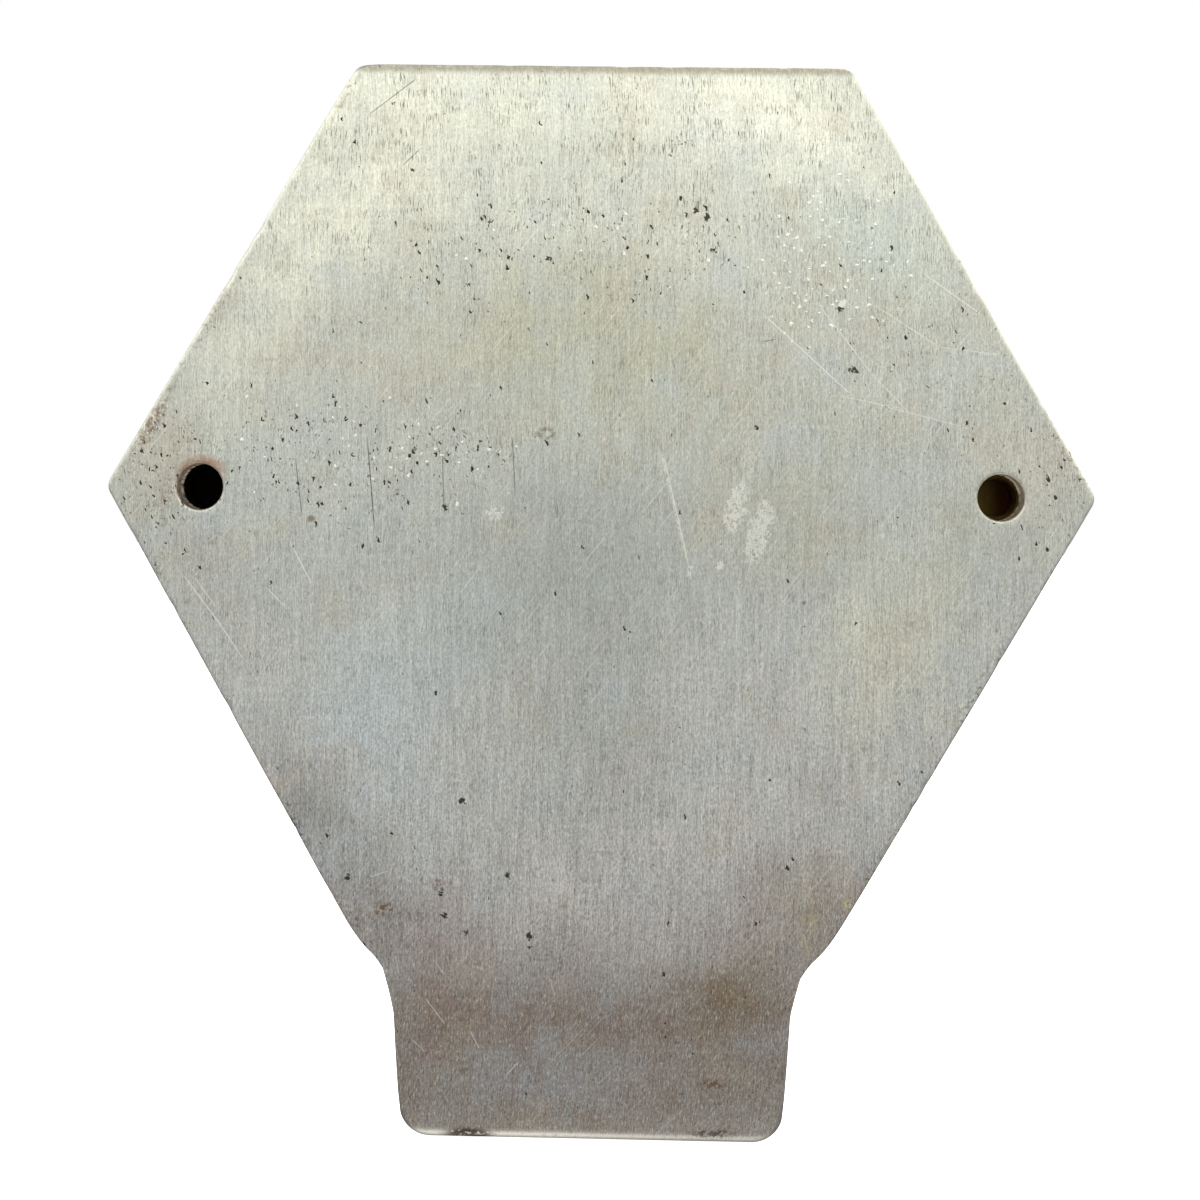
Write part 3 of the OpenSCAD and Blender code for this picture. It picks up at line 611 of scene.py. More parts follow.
    # Painted highlight: a lighter rim along the edges, on the upper half of the plate.
    tone = f.over(tone, (0.88, 0.88, 0.78), f.ramp(edge, 0.8, 0.1), f.ramp(f.z, -15, 15), 0.45)
    top_edge = f.times(f.ramp(f.z, 46.3, 47.2), f.ramp(ragged, 0.3, 0.6, 0.6, 0.9))
    tone = f.over(tone, (0.31, 0.29, 0.23), top_edge)
    tone = nickel_traces(f, tone, ragged)
    # Bore wall: darker at the back, going over deeper in to a near-white that is painted light, so that the
    # wall reads as lit.
    bore = f.over((0.15, 0.09, 0.045), (0.90, 0.82, 0.66), f.ramp(f.y, -1.4, -2.6))
    tone = f.over(tone, bore, f.inside, f.ramp(ragged, 0.30, 0.62, 1.0, 0.75))

    rough = f.math("MULTIPLY_ADD", grain, 0.22, 0.27)
    f.bump(f.add(f.times(grain, 0.5), f.times(lines, 0.4), f.times(pit, -1.5), blister_and_highlight), 0.5, 0.00006)
    return f.finish({"Base Color": tone, "Roughness": f.add(rough, f.times(pit, 0.3)),
                     "Metallic": f.math("MULTIPLY_ADD", f.inside, -0.9, 1.0)})


def bright_metal(name, colour, dark, roughness, soot_and_shade=0.0):
    """Polished metal of a raised piece, dulled in clouds and specks. Its hollows are painted dark as shade,
    with dull brass in the one on the left of the face, and on the other side a sooty black that is partly
    painted shade."""
    f = Finish(name, {"Metallic": 1.0})
    clouds = f.noise(f.solid, 0.25, 4, 0.6, "3D")
    specks = f.noise(f.solid, 2.5, 2, 0.5, "3D")
    tone = f.over(colour, dark, f.ramp(clouds, 0.35, 0.75, 0, 0.55))
    tone = f.over(tone, tuple(0.4 * part for part in dark), f.ramp(specks, 0.66, 0.74, 0, 0.5))
    side = f.ramp(f.x, -1, 1)
    # Painted shade: hollows darkened by how deep inside they lie.
    hollow = f.over((0.17, 0.12, 0.03), (0.06, 0.02, 0.008), f.ramp(f.x, -43.4, -46.2))
    tone = f.over(tone, f.over(hollow, (0.006, 0.005, 0.003), side), f.inside)
    # Sooty black over the right of the face, partly painted shade.
    tone = f.over(tone, (0.004, 0.003, 0.002), side, soot_and_shade)
    f.bump(f.add(f.times(clouds, 0.4), f.times(specks, 0.2)), 0.25, 0.00005)
    dull = f.ramp(clouds, 0.3, 0.75, roughness, roughness + 0.16)
    return f.finish({"Base Color": tone, "Roughness": f.math("MAXIMUM", dull, f.times(f.inside, 0.6))})


def glass_enamel(name, colour, deep, speck):
    """Fired enamel: a smooth glassy coat over colour that clouds a little, with specks, a faint ripple,
    hairlines, thin dirt and a few chips."""
    f = Finish(name, {"Coat Weight": 0.6, "Coat Roughness": 0.06})
    clouds = f.noise(f.solid, 0.09, 3, 0.55, "3D")
    ripple = f.noise(f.solid, 0.5, 2, 0.5, "3D")
    dirt = f.ramp(f.noise(f.solid, 0.22, 5, 0.7, "3D"), 0.52, 0.74)
    away, chance, spare = f.cells(f.stretch((1.6, 1.6)))
    dot = f.times(f.ramp(away, 0.09, 0.05), f.ramp(chance, 0.80, 0.86))
    away, chance, size = f.cells(f.stretch((7.0, 7.0), 15, f.warp(1.2, 1.6)))
    within = f.math("SUBTRACT", away, f.times(size, 0.05))
    chip = f.times(f.ramp(within, 0.06, 0.045), f.ramp(chance, 0.86, 0.88))
    hairs = f.math("MAXIMUM", f.ramp(f.noise(f.stretch((0.09, 9.0), 32), 1, 1), 0.70, 0.76),
                   f.ramp(f.noise(f.stretch((0.09, 7.0), -58), 1, 1), 0.72, 0.78))
    tone = f.over(colour, deep, f.ramp(clouds, 0.30, 0.75))
    tone = f.over(tone, speck, dirt, 0.30)
    tone = f.over(tone, tuple(0.05 + 1.15 * part for part in colour), hairs, 0.3)
    tone = f.over(tone, speck, dot, 0.8)
    tone = f.over(tone, (0.07, 0.05, 0.035), chip, 0.9)
    f.bump(f.add(f.times(ripple, 0.6), f.times(dot, -0.5), f.times(chip, -2.0)), 0.25, 0.0001)
    rough = f.add(f.times(dirt, 0.14), f.times(chip, 0.4), 0.18)
    return f.finish({"Base Color": tone, "Roughness": rough})


nickel = worn_nickel()
bright_plate = bright_metal("bright_plate", (0.72, 0.71, 0.67), (0.46, 0.45, 0.42), 0.14)
# The nuts' brass is dark partly from dirt and partly as painted shade, so that the holes read dark.
brass = bright_metal("grimed_shaded_brass", (0.10, 0.072, 0.022), (0.05, 0.03, 0.011), 0.55, soot_and_shade=1.0)
copper = bright_metal("copper_pegs", (0.62, 0.36, 0.22), (0.32, 0.17, 0.10), 0.32)
yellow_enamel = glass_enamel("yellow_enamel", (0.64, 0.345, 0.014), (0.54, 0.265, 0.010), (0.26, 0.12, 0.015))
black_enamel = glass_enamel("black_enamel", (0.006, 0.006, 0.007), (0.010, 0.010, 0.011), (0.06, 0.06, 0.06))


# Plate

def plate_loops(field_in=0.0):
    """Outer and field loops of the plate, point for point, from the top middle clockwise as seen from the
    face. Each half runs through the same stations: the cut above the cap's land, the cut below it and the
    foot. The shoulder is worn round: a quadratic curve from a little up the side to a little round the
    neck."""
    corner = (APOTHEM - CORNER_R) / COS_30
    lean = np.array([COS_30, 0.5])
    side_end = np.array([(APOTHEM - 0.5 * (APOTHEM + SIDE_RUN_ON)) / lean[0], -APOTHEM - SIDE_RUN_ON])
    neck_x = TAB_HALF_W + NECK_R
    neck = (neck_x, side_end[1] - math.sqrt(NECK_R ** 2 - (neck_x - side_end[0]) ** 2))
    neck_start = math.degrees(math.atan2(side_end[1] - neck[1], side_end[0] - neck[0]))
    foot = (TAB_FOOT_HALF_W - TAB_CORNER_R, TAB_CORNER_R - TAB_BOTTOM)
    flat = FIELD_APOTHEM - field_in
    land = LAND_R + field_in
    field_corner = (flat - CORNER_R / 2) / lean[0]
    station = LAND_CUT_Y + field_in
    field_cut = np.array([(flat - 0.5 * station) / lean[0], station])
    outer_cut = field_cut + (FIELD_BORDER + field_in) * lean
    down = np.array([1, -1])
    upper = np.concatenate([[[0, APOTHEM]], arc(corner * lean[::-1], CORNER_R, 90, 30), [outer_cut]])
    side = np.concatenate([[outer_cut], arc((corner, 0), CORNER_R, 30, -30), [outer_cut * down]])
    back_up = (outer_cut * down - side_end) / np.linalg.norm(outer_cut * down - side_end)
    shoulder = arc(neck, NECK_R, neck_start + WORN_TURN, 180)
    share = np.linspace(0, 1, 10)[:-1, None]
    rest = 1 - share
    worn_start = side_end + WORN_RUN * back_up
    worn = worn_start * rest ** 2 + 2 * side_end * share * rest + shoulder[0] * share ** 2
    lower = np.concatenate([[outer_cut * down], worn, shoulder, arc(foot, TAB_CORNER_R, 0, -90),
                            [[0, -TAB_BOTTOM]]])
    field_upper = np.concatenate([[[0, flat]], arc(field_corner * lean[::-1], CORNER_R / 2, 90, 30),
                                  [field_cut]])
    field_side = np.concatenate([[field_cut], arc((HOLE_X, 0), land, 100, 260, 60), [field_cut * down]])
    field_lower = (field_upper * down)[::-1]
    counts = (150, 60, 190)
    outer, field = [[even_steps(path, count + 1)[:-1] for path, count in zip(paths, counts)]
                    for paths in ((upper, side, lower), (field_upper, field_side, field_lower))]
    loops = []
    for parts, last in ((outer, (0, -TAB_BOTTOM)), (field, (0, -flat))):
        right = np.concatenate(parts + [[last]])
        left = right[-2:0:-1] * np.array([-1, 1])
        loops.append(np.concatenate([right, left]))
    return loops[0], loops[1], counts[0], counts[0] + counts[1]


def outward(loop):
    """Unit normals of a clockwise loop: the direction between each point's neighbours, turned a quarter
    left."""
    along = np.roll(loop, -1, axis=0) - np.roll(loop, 1, axis=0)
    along /= np.hypot(along[:, 0], along[:, 1])[:, None]
    return np.stack([-along[:, 1], along[:, 0]], axis=1)


def edge_roundings(loop):
    """Radius of the back edge at each point: a crisp one that wavers and has small knocks, each a bell curve
    along the loop, going over by a smooth step to a full one along the foot of the tab."""
    rng = np.random.default_rng(11)
    run = np.arange(len(loop))
    count = 46
    knocks = rng.integers(0, len(loop), count)
    widths = rng.uniform(0.8, 2.6, count)
    depths = rng.uniform(0.05, 0.4, count)
    apart = np.abs((run[:, None] - knocks + len(loop) // 2) % len(loop) - len(loop) // 2)
    knocked = (depths * np.exp(-(apart / widths) ** 2)).sum(axis=1)
    waver = 0.07 * np.sin(run * 0.21) * np.sin(run * 0.047 + 1)
    foot_start, foot_run = 66.5, 5.5
    foot = np.clip((-loop[:, 1] - foot_start) / foot_run, 0, 1)
    foot = foot * foot * (3 - 2 * foot)
    return EDGE_R + (waver + knocked) * (1 - foot) + (FOOT_EDGE_R - EDGE_R) * foot


def add_face(surface, outer, field, level, cuts, angles=None, hole_r=HOLE_R):
    """One face of the plate outside the field: the border in straight steps from the field's loop to the
    outer one, and round each hole a patch whose steps run from the hole's circle to the edge of its land."""
    total = len(outer)
    steps = np.linspace(0, 1, 11)
    border = between(field, outer, steps)
    top = np.arange(-cuts[0], cuts[0] + 1) % total
    foot = np.arange(cuts[1], total - cuts[1] + 1)
    for part in (top, foot):
        surface.add(on_sheet(border[:, part], level), closed_columns=False)
    kept = []
    for side, first, last in ((1, cuts[0], cuts[1]), (-1, total - cuts[1], total - cuts[0])):
        edge = np.concatenate([border[-1, first:last], border[:0:-1, last], border[0, last:first:-1],
                               border[:-1, first]])
        angle = np.arctan2(edge[:, 1], edge[:, 0] - side * HOLE_X)
        if angles is not None:
            angle = angles[len(kept)]
        hole = np.stack([side * HOLE_X + hole_r * np.cos(angle), hole_r * np.sin(angle)], axis=1)
        surface.add(on_sheet(between(hole, edge, np.linspace(0, 1, 13)), level))
        kept.append(angle)
    return kept


def back_plate():
    """The bent plate: back face, rounded edge, wall and face border as loops carried round the outline, bored
    at both holes, with the enamel's recess sunk in the face."""
    outer, field, *cuts = plate_loops()
    normal = outward(outer)
    back_r = edge_roundings(outer)
    surface = Surface()
    turn = np.linspace(0, np.pi / 2, 8)[:, None]
    back_in = back_r * (1 - np.sin(turn))
    back_level = back_r * (1 - np.cos(turn))
    wall_share = np.linspace(0, 1, 5)[1:-1, None]
    wall_level = back_r + (PLATE_T - FACE_EDGE_R - back_r) * wall_share
    face_in = FACE_EDGE_R * (1 - np.cos(turn)) * np.ones_like(back_r)
    face_level = PLATE_T - FACE_EDGE_R * (1 - np.sin(turn)) * np.ones_like(back_r)
    inset = np.concatenate([back_in, np.zeros_like(wall_level), face_in])
    level = np.concatenate([back_level, wall_level, face_level])
    rings = outer[None] - normal[None] * inset[..., None]
    surface.add(on_sheet(rings, level))
    angles = add_face(surface, rings[0], field, 0.0, cuts, hole_r=HOLE_R + HOLE_LIP_R)
    add_face(surface, rings[-1], field, PLATE_T, cuts, angles)
    for side, angle in zip((1, -1), angles):
        lip = HOLE_LIP_R * (1 - np.sin(turn))
        bore_r = np.concatenate([HOLE_R + lip, [[HOLE_R]]])
        bore_level = np.concatenate([HOLE_LIP_R * (1 - np.cos(turn)), [[PLATE_T]]])
        plan = np.stack([side * HOLE_X + bore_r * np.cos(angle), bore_r * np.sin(angle)], axis=-1)
        surface.add(on_sheet(plan, bore_level), inside=np.append(np.sin(turn) ** 4, 1))
    centre = np.zeros_like(field)
    surface.add(on_sheet(between(centre, field, np.linspace(0, 1, 26)), 0.0))
    surface.add(on_sheet(between(centre, field, np.linspace(0, 1, 8)), FIELD_FLOOR))
    surface.add(on_sheet(np.stack([field, field]), np.array([[PLATE_T], [FIELD_FLOOR]])))
    surface.build("plate", nickel, "back_plate")


def field_enamel():
    """Enamel in the recess: a thin slab on the field's loop whose glassy top climbs a hair at its edge, with
    the square of the way through the last part of its width."""
    field = plate_loops(2 * ENAMEL_GAP)[1]
    level_share, edge_climb = 0.97, 0.04
    share = np.concatenate([np.linspace(0, level_share, 22), [0.985, 0.995, 1.0]])
    plan = between(np.zeros_like(field), field, share)
    climb = edge_climb * np.clip((share - level_share) / (1 - level_share), 0, 1) ** 2
    surface = Surface()
    surface.add(on_sheet(plan, FIELD_TOP + climb[:, None]))
    surface.add(on_sheet(np.stack([field, field]), np.array([[FIELD_TOP + edge_climb], [FIELD_FLOOR]])))
    surface.add(on_sheet(between(np.zeros_like(field), field, np.linspace(0, 1, 8)), FIELD_FLOOR))
    surface.build("yellow_field", yellow_enamel, "field_enamel")


# Road wheel

def wheel_casting():
    """Rim with its groove and hub as turned profiles, and spokes as round rods that swell into a nipple at
    the rim."""
    surface = Surface()
    foot, top, groove = FIELD_TOP, FIELD_TOP + RING_T, FIELD_TOP + RING_T - GROOVE_H
    rim = rounded_profile([(RIM_INNER_R, foot, 0.05), (WHEEL_R, foot, 0.05), (WHEEL_R, top, 0.28),
                           (TYRE_OUTER_R, top, 0.28), (TYRE_OUTER_R, groove, 0.05),
                           (TYRE_INNER_R, groove, 0.05), (TYRE_INNER_R, top, 0.5), (RIM_INNER_R, top, 0.6)])
    surface.add(revolve(rim, (0, 0), 180), closed_rows=True)
    flange_top, pin_top = foot + HUB_FLANGE_H, HUB_TOP + HUB_PIN_H
    hub = rounded_profile([(HUB_FLANGE_R - 0.9, foot, 0.05), (HUB_FLANGE_R, foot, 0.05),
                           (HUB_FLANGE_R, flange_top, 0.4), (HUB_BARREL_R, flange_top, 0.25),
                           (HUB_BARREL_R, HUB_TOP, 0.3), (HUB_PIN_R, HUB_TOP, 0.1),
                           (HUB_PIN_R, pin_top, 0.2), (HUB_PIN_R - 0.9, pin_top, 0.1)])
    hub = np.concatenate([[[0, foot]], hub, [[0, pin_top]]])
    surface.add(revolve(hub, (0, 0), 72))
    way = np.array([-1, 1])[None, :, None, None]
    turn = np.radians(360 / SPOKE_PAIRS * np.arange(SPOKE_PAIRS))[:, None, None, None]
    along = np.array([3.0, 3.0, 6.0, 9.0, 12.0, 15.0, 15.8, 16.1, 16.6, 18.3, 18.3])[None, None, :, None]
    thick = np.array([0, 0.42, 0.40, 0.38, 0.38, 0.38, 0.40, 0.58, 0.62, 0.62, 0])[None, None, :, None]
    round_angle = np.linspace(0, 2 * np.pi, 12, endpoint=False)[None, None, None, :]
    beside = way * SPOKE_LACE + thick * np.cos(round_angle)
    level = FIELD_TOP + SPOKE_LEVEL + SPOKE_CROSSING * way + thick * np.sin(round_angle)
    across = along * np.cos(turn) - beside * np.sin(turn)
    up = along * np.sin(turn) + beside * np.cos(turn)
    rods = stand(across, up, level)
    for rod in rods.reshape(-1, *rods.shape[2:]):
        surface.add(rod)
    surface.build("wheel", bright_plate, "wheel_casting")


def tyre_enamel():
    """Black ring in the groove: a turned profile whose top is crowned by one less the square of the way
    across."""
    foot = FIELD_TOP + RING_T - GROOVE_H
    half = (TYRE_OUTER_R - TYRE_INNER_R) / 2 - ENAMEL_GAP
    share = np.linspace(-1, 1, 15)
    crown = foot + GROOVE_H + TYRE_CROWN * (1 - share ** 2)
    top = np.stack([(TYRE_OUTER_R + TYRE_INNER_R) / 2 + half * share, crown], axis=1)
    under = top[::-2] * np.array([1, 0]) + np.array([0, foot])
    surface = Surface()
    surface.add(revolve(np.concatenate([top, under]), (0, 0), 180), closed_rows=True)
    surface.build("tyre", black_enamel, "tyre_enamel")


def hub_spinner():
    """Two-eared nut: its outline's radius is the barrel's, swelling to the ears with a power of the angle's
    sine, and its top rises from the outline to an oval dome."""
    angle = np.linspace(0, 2 * np.pi, 144, endpoint=False)[None, :]
    reach = SPINNER_R + SPINNER_EAR * np.abs(np.sin(angle)) ** 9
    shrink = np.concatenate([[0, 0.9, 1, 1, 1, 0.985, 0.95], np.linspace(0.9, 0, 10)])[:, None]
    lift = np.concatenate([[0, 0, 0.12, 0.7, 1.25, 1.5, 1.62], np.full(10, SPINNER_H)])[:, None]
    radius = reach * shrink
    dome_r = SPINNER_R - 0.05
    crown = SPINNER_DOME_H * np.sqrt(np.clip(1 - (radius / dome_r) ** 2, 0, 1)) * (lift == SPINNER_H)
    surface = Surface()
    surface.add(stand(radius * np.cos(angle), radius * np.sin(angle), HUB_TOP + lift + crown))
    surface.build("knock_off_nut", bright_plate, "hub_spinner", sharp=50)


# Laurel wreath

def laurel_spray(side, name, node):
    """One spray: every leaf is the same grid of places along and across it, turned to its own place on the
    stem. A leaf's half width is a circle's arc. Its top falls off with a cosine across it, less a bell curve
    for the midrib and with slanting waves for the veins."""
    surface = Surface()
    arc_r = (LEAF_L ** 2 + LEAF_W ** 2) / (4 * LEAF_W)
    along = LEAF_L * (0.5 - 0.5 * np.cos(np.linspace(0, np.pi, 25)))
    half_w = np.sqrt(arc_r ** 2 - (along - LEAF_L / 2) ** 2) - (arc_r - LEAF_W / 2)
    top_count, stem_count = 19, 90
    across = np.concatenate([np.linspace(-1, 1, top_count), [0.98, -0.98]])
    share, width = np.abs(across)[None, :], half_w[:, None]
    full = np.clip(width / 0.6, 0, 1) ** 0.5
    vein = 0.07 * np.cos(2 * np.pi * (along[:, None] / 1.15 - 0.8 * share)) * share * (1 - share)
    top = full * (0.55 + 0.75 * np.cos(share * 1.25) - 0.34 * np.exp(-(share / 0.13) ** 2) + 2.4 * vein)
    height = np.where(np.arange(len(across)) < top_count, np.clip(top, 0, SPRAY_T), 0.0)
    start = np.radians(SPRAY_START + (SPRAY_END - SPRAY_START) / (LEAF_PAIRS - 1) * np.arange(LEAF_PAIRS))
    place = np.concatenate([start, start, start[-1:]])[:, None, None]
    splay = np.radians(np.repeat([LEAF_SPLAY, -LEAF_SPLAY, 0], [LEAF_PAIRS, LEAF_PAIRS, 1]))
    heading = place + splay[:, None, None]
    beside = across[None, None, :] * half_w[None, :, None]
    x = WREATH_R * np.sin(place) + along[None, :, None] * np.cos(heading) - beside * np.sin(heading)
    y = -WREATH_R * np.cos(place) + along[None, :, None] * np.sin(heading) + beside * np.cos(heading)
    for leaf in stand(side * x, y, FIELD_TOP + height):
        surface.add(leaf)
    stem = np.radians(np.linspace(0.4, SPRAY_END + 3, stem_count))[:, None]
    step = np.arange(stem_count)
    thick = np.clip(np.minimum(step, step[::-1]) / 3, 0, 1)[:, None] ** 0.5
    round_angle = np.linspace(0, 2 * np.pi, 14, endpoint=False)[None, :]
    radius = WREATH_R + STEM_HALF_W * thick * np.cos(round_angle)
    surface.add(stand(side * radius * np.sin(stem), -radius * np.cos(stem),
                      FIELD_TOP + STEM_HALF_T + STEM_HALF_T * thick * np.sin(round_angle)))
    surface.build(name, bright_plate, node, sharp=60)


def wreath_clasp():
    """Saddle over the two stems: a rounded section, whose sides are powers of the angle's cosine and sine,
    carried across the foot of the wreath, with a rolled lip at each end and a bead between two hollows."""
    half = np.array([0, 0.35, 0.6, 0.75, 0.95, 1.4, 2.0, 2.2, 2.35, 2.65, 2.92, 3, 3])
    half_size = np.array([1, 0.99, 0.95, 0.86, 0.80, 0.79, 0.80, 0.85, 0.97, 1, 0.97, 0.86, 0])
    across = np.concatenate([-half[::-1], half[1:]])[:, None]
    size = np.concatenate([half_size[::-1], half_size[1:]])[:, None]
    angle = np.linspace(0, 2 * np.pi, 40, endpoint=False)[None, :]
    up = CLASP_HALF_H * size * np.sign(np.cos(angle)) * np.abs(np.cos(angle)) ** 0.6
    rise = CLASP_HALF_T * size * np.sign(np.sin(angle)) * np.abs(np.sin(angle)) ** 0.7
    surface = Surface()
    surface.add(stand(across, -WREATH_R + up, FIELD_TOP + CLASP_HALF_T + rise))
    surface.build("clasp", bright_plate, "wreath_clasp", sharp=50)


# Caps and nuts

def fixing_cap(side, name, node):
    """Blind cap: a turned profile with a rolled foot, a straight skirt, a dome and a hollow for the nut."""
    foot_top, skirt_top = PLATE_T + CAP_FOOT_H, PLATE_T + CAP_SKIRT_H
    pocket_top, room_top = PLATE_T + CAP_POCKET_H, PLATE_T + SCREW_ROOM_H
    foot = rounded_profile([(CAP_POCKET_R, PLATE_T, 0.05), (CAP_FOOT_R, PLATE_T, 0.1),
                            (CAP_FOOT_R, foot_top, 0.35), (CAP_R, foot_top, 0.12), (CAP_R, skirt_top, 0.05)])
    hollow = rounded_profile([(0.4, room_top, 0.1), (SCREW_ROOM_R, room_top, 0.4),
                              (SCREW_ROOM_R, pocket_top, 0.1), (CAP_POCKET_R, pocket_top, 0.1),
                              (CAP_POCKET_R, PLATE_T + 0.1, 0.02)])
    profile = np.concatenate([[[0, room_top]], hollow, foot, dome(CAP_R, CAP_DOME_H, skirt_top, 28)])
    within = np.arange(len(profile)) <= len(hollow)
    surface = Surface()
    surface.add(revolve(profile, (side * HOLE_X, 0)), inside=within)
    surface.build(name, bright_plate, node)


def captive_nuts():
    """Two hexagonal nuts: the outer wall's radius is the flat's distance over the cosine of the angle from
    it, cut by a cone at each face, and the bore's radius waves along a screw line."""
    surface = Surface()
    angle = np.linspace(0, 2 * np.pi, 96, endpoint=False)[None, :]
    from_flat = (angle + np.pi / 6) % (np.pi / 3) - np.pi / 6
    hexagon = NUT_AF / 2 / np.cos(from_flat)
    level = np.linspace(0, NUT_T, 25)[:, None]
    screw = np.abs(2 * ((level / NUT_PITCH + angle / (2 * np.pi)) % 1) - 1)
    mouth, corner_cut, cone_slope = 0.35, 0.45, 1.6
    bore = NUT_TAP_R + NUT_THREAD_H * screw + np.clip(mouth - level, 0, 1)
    wall_level = np.array([NUT_T, NUT_T - 0.3, NUT_T / 2, 0.3, 0])[:, None]
    cone = NUT_CORNER_R - corner_cut + np.minimum(wall_level, NUT_T - wall_level) * cone_slope
    wall = np.minimum(hexagon, cone)
    radius = np.concatenate([bore, wall])
    out = PLATE_T + np.concatenate([level, wall_level])
    within = np.concatenate([np.clip(level, 0, 1), np.zeros_like(wall_level)])
    for side in (1, -1):
        nut = stand(side * HOLE_X + radius * np.cos(angle), radius * np.sin(angle), out)
        surface.add(nut, closed_rows=True, inside=within)
    surface.build("nuts", brass, "captive_nuts", sharp=30)


# Number plaque

def number_plaque():
    """Blank plaque on the tab: rounded rectangles carried up its wall, over its rim and down into its
    panel."""
    centre = np.array([0, -PLAQUE_Y])
    wall = [rounded_rectangle(*PLAQUE, inset) for inset in (0, 0, 0.08, 0.3)]
    panel = [rounded_rectangle(*PANEL, inset) for inset in (-0.1, 0, 0)]
    middle = [np.zeros_like(panel[0])]
    plan = np.stack(middle + wall + panel + middle) + centre
    drops = [0.3, 0.08, 0, 0, 0.08, PANEL_DEEP, PANEL_DEEP]
    levels = [PLATE_T, PLATE_T] + [PLAQUE_TOP - drop for drop in drops]
    surface = Surface()
    surface.add(on_sheet(plan, np.array(levels)[:, None]))
    surface.build("plaque", bright_plate, "number_plaque")


def plaque_enamel():
    """Black panel of the plaque: steps from the middle to a rounded rectangle, dished by a hair at its
    edge."""
    loop = rounded_rectangle(*PANEL, ENAMEL_GAP)
    share = np.linspace(0, 1, 14)
    centre = np.array([0, -PLAQUE_Y])
    top = PLAQUE_TOP - 0.03 - 0.04 * share ** 8
    middle = np.zeros_like(loop)
    plan = np.concatenate([between(middle, loop, share), [loop, middle]]) + centre
    floor = PLAQUE_TOP - PANEL_DEEP + ENAMEL_GAP
    level = np.concatenate([top, [floor, floor]])
    surface = Surface()
    surface.add(on_sheet(plan, level[:, None]))
    surface.build("plaque_panel", black_enamel, "plaque_enamel")


def plaque_pins():
    """Two round-headed pins square to the curved tab: a turned dome with a shank below it."""
    tilt = math.asin((PLAQUE_Y - TAB_BEND_Y) / (TAB_BEND_R - PLAQUE_TOP))
    base = (0.0, float(bend(np.array(-PLAQUE_Y), PLAQUE_TOP)))
    shank = [[0, -PIN_SHANK_L], [PIN_SHANK_R - 0.05, -PIN_SHANK_L], [PIN_SHANK_R, 0.2 - PIN_SHANK_L],
             [PIN_SHANK_R, 0]]
    profile = np.concatenate([shank, dome(PIN_HEAD_R, PIN_HEAD_H, 0, 14)])
    surface = Surface()
    for side in (1, -1):
        surface.add(revolve(profile, (side * (PLAQUE_W - PIN_LAND) / 2, -PLAQUE_Y), 48, tilt, base))
    surface.build("plaque_pins_round", bright_plate, "plaque_pins")


back_plate()
field_enamel()
wheel_casting()
tyre_enamel()
hub_spinner()
laurel_spray(1, "spray_right", "laurel_spray_right")
laurel_spray(-1, "spray_left", "laurel_spray_left")
wreath_clasp()
fixing_cap(-1, "cap_left", "fixing_cap_left")
fixing_cap(1, "cap_right", "fixing_cap_right")
captive_nuts()
number_plaque()
plaque_enamel()
plaque_pins()
for name in ("wheel_pegs", "wreath_pegs"):
    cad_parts[name].data.materials.clear()
    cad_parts[name].data.materials.append(copper)


# Floor, light and camera

def plain_floor():
    """Pale floor level with the badge's foot."""
    reach = np.array([-3.0, 3.0])
    across, along = np.meshgrid(reach, reach)
    just_under = 0.0002
    level = np.full_like(across, -TAB_BOTTOM * MM - just_under)
    mesh = bpy.data.meshes.new("floor")
    mesh.from_pydata(np.stack([across, along, level], axis=-1).reshape(-1, 3).tolist(), [], [[0, 1, 3, 2]])
    floor = bpy.data.objects.new("floor", mesh)
    bpy.context.scene.collection.objects.link(floor)
    paper = {"Base Color": (0.9, 0.9, 0.9), "Roughness": 1.0, "Specular IOR Level": 0.0,
             "Emission Color": (1, 1, 1), "Emission Strength": 0.9}
    mesh.materials.append(Finish("white_floor", paper).material)
    floor.visible_glossy = False


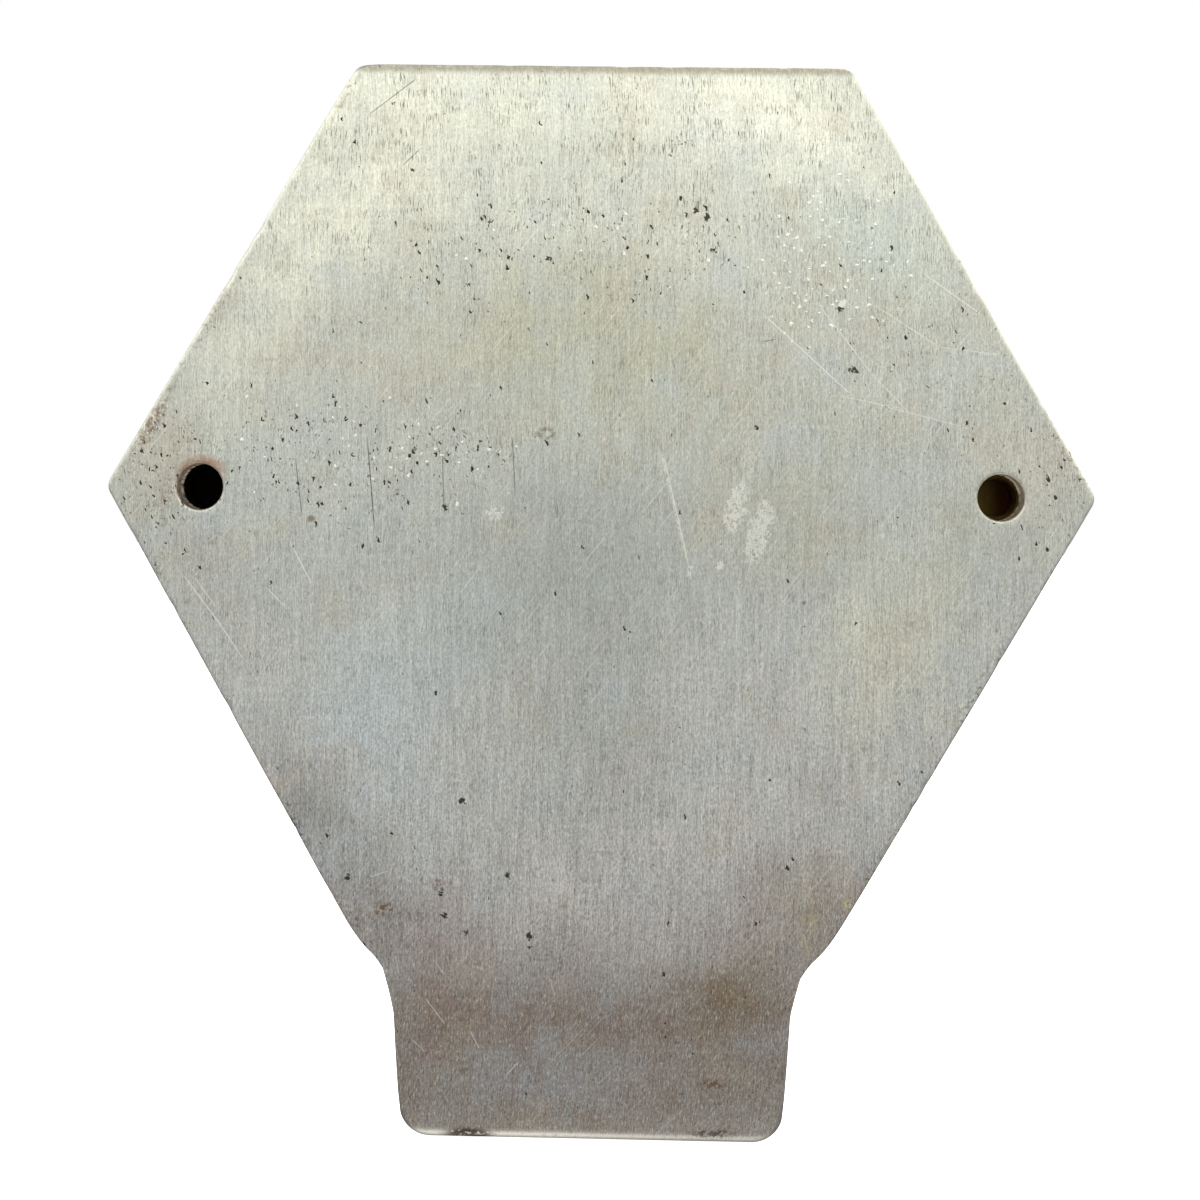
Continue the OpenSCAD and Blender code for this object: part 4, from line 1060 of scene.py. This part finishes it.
def studio_light():
    """White surround whose light is bright above and dim below, as from a window over a bench. On the face's
    side it is dimmed, with one soft box. The camera itself sees plain white."""
    world = bpy.data.worlds.new("studio")
    bpy.context.scene.world = world
    world.use_nodes = True
    sky = Nodes(world.node_tree)
    way = sky.node("TexCoord").outputs["Generated"]
    spare, y, z = sky.node("SeparateXYZ", way).outputs
    by_elevation = [(-90, (1.10, 1.08, 1.04)), (-68, (0.85, 0.84, 0.81)), (-54, (0.44, 0.43, 0.42)),
                    (-30, (0.50, 0.49, 0.49)), (-10, (0.58, 0.59, 0.60)), (2, (0.67, 0.69, 0.68)),
                    (8, (1.02, 1.02, 0.97)), (13, (1.35, 1.34, 1.26)), (25, (1.48, 1.47, 1.37)),
                    (90, (1.4, 1.38, 1.3))]
    stops = [(0.5 + 0.5 * math.sin(math.radians(elevation)), colour) for elevation, colour in by_elevation]
    light = sky.colours(sky.math("MULTIPLY_ADD", z, 0.5, 0.5), stops)
    dimmed = sky.vector("SCALE", light, None, None, sky.ramp(y, -0.55, 0.1, 0.5, 1.0))
    toward_box = sky.vector("DOT_PRODUCT", way, (-0.45, -0.66, 0.60), result="Value")
    lit = sky.vector("ADD", dimmed, sky.ramp(toward_box, 0.80, 0.90, 0.0, 1.6))
    seen = sky.node("LightPath").outputs["Is Camera Ray"]
    sky.put(world.node_tree.nodes["Background"].inputs["Color"], sky.over(lit, (1, 1, 1), seen))
    bpy.context.scene.view_settings.view_transform = "Standard"


def photo_camera():
    """Camera square on the back, 195 mm away, with the photograph's focal length, small turns and off-centre
    frame."""
    photo_width, focal_length = 1200, 1760.4
    data = bpy.data.cameras.new("camera")
    data.sensor_width = 36.0
    data.lens = data.sensor_width * focal_length / photo_width
    data.shift_y = -0.1
    data.clip_start = 0.01
    camera = bpy.data.objects.new("camera", data)
    bpy.context.scene.collection.objects.link(camera)
    place = (-0.00402, 0.19506, -0.00197)
    pan, tilt, roll = math.radians(1.141), math.radians(-0.970), math.radians(0.820)
    turn = Matrix.Rotation(pan, 3, "Z") @ Matrix.Rotation(tilt, 3, "X") @ Matrix.Rotation(roll, 3, "Y")
    square_on = Matrix(((-1, 0, 0), (0, 0, 1), (0, 1, 0)))
    camera.matrix_world = Matrix.Translation(place) @ (turn @ square_on).to_4x4()
    bpy.context.scene.camera = camera


plain_floor()
studio_light()
photo_camera()

bpy.context.view_layer.update()
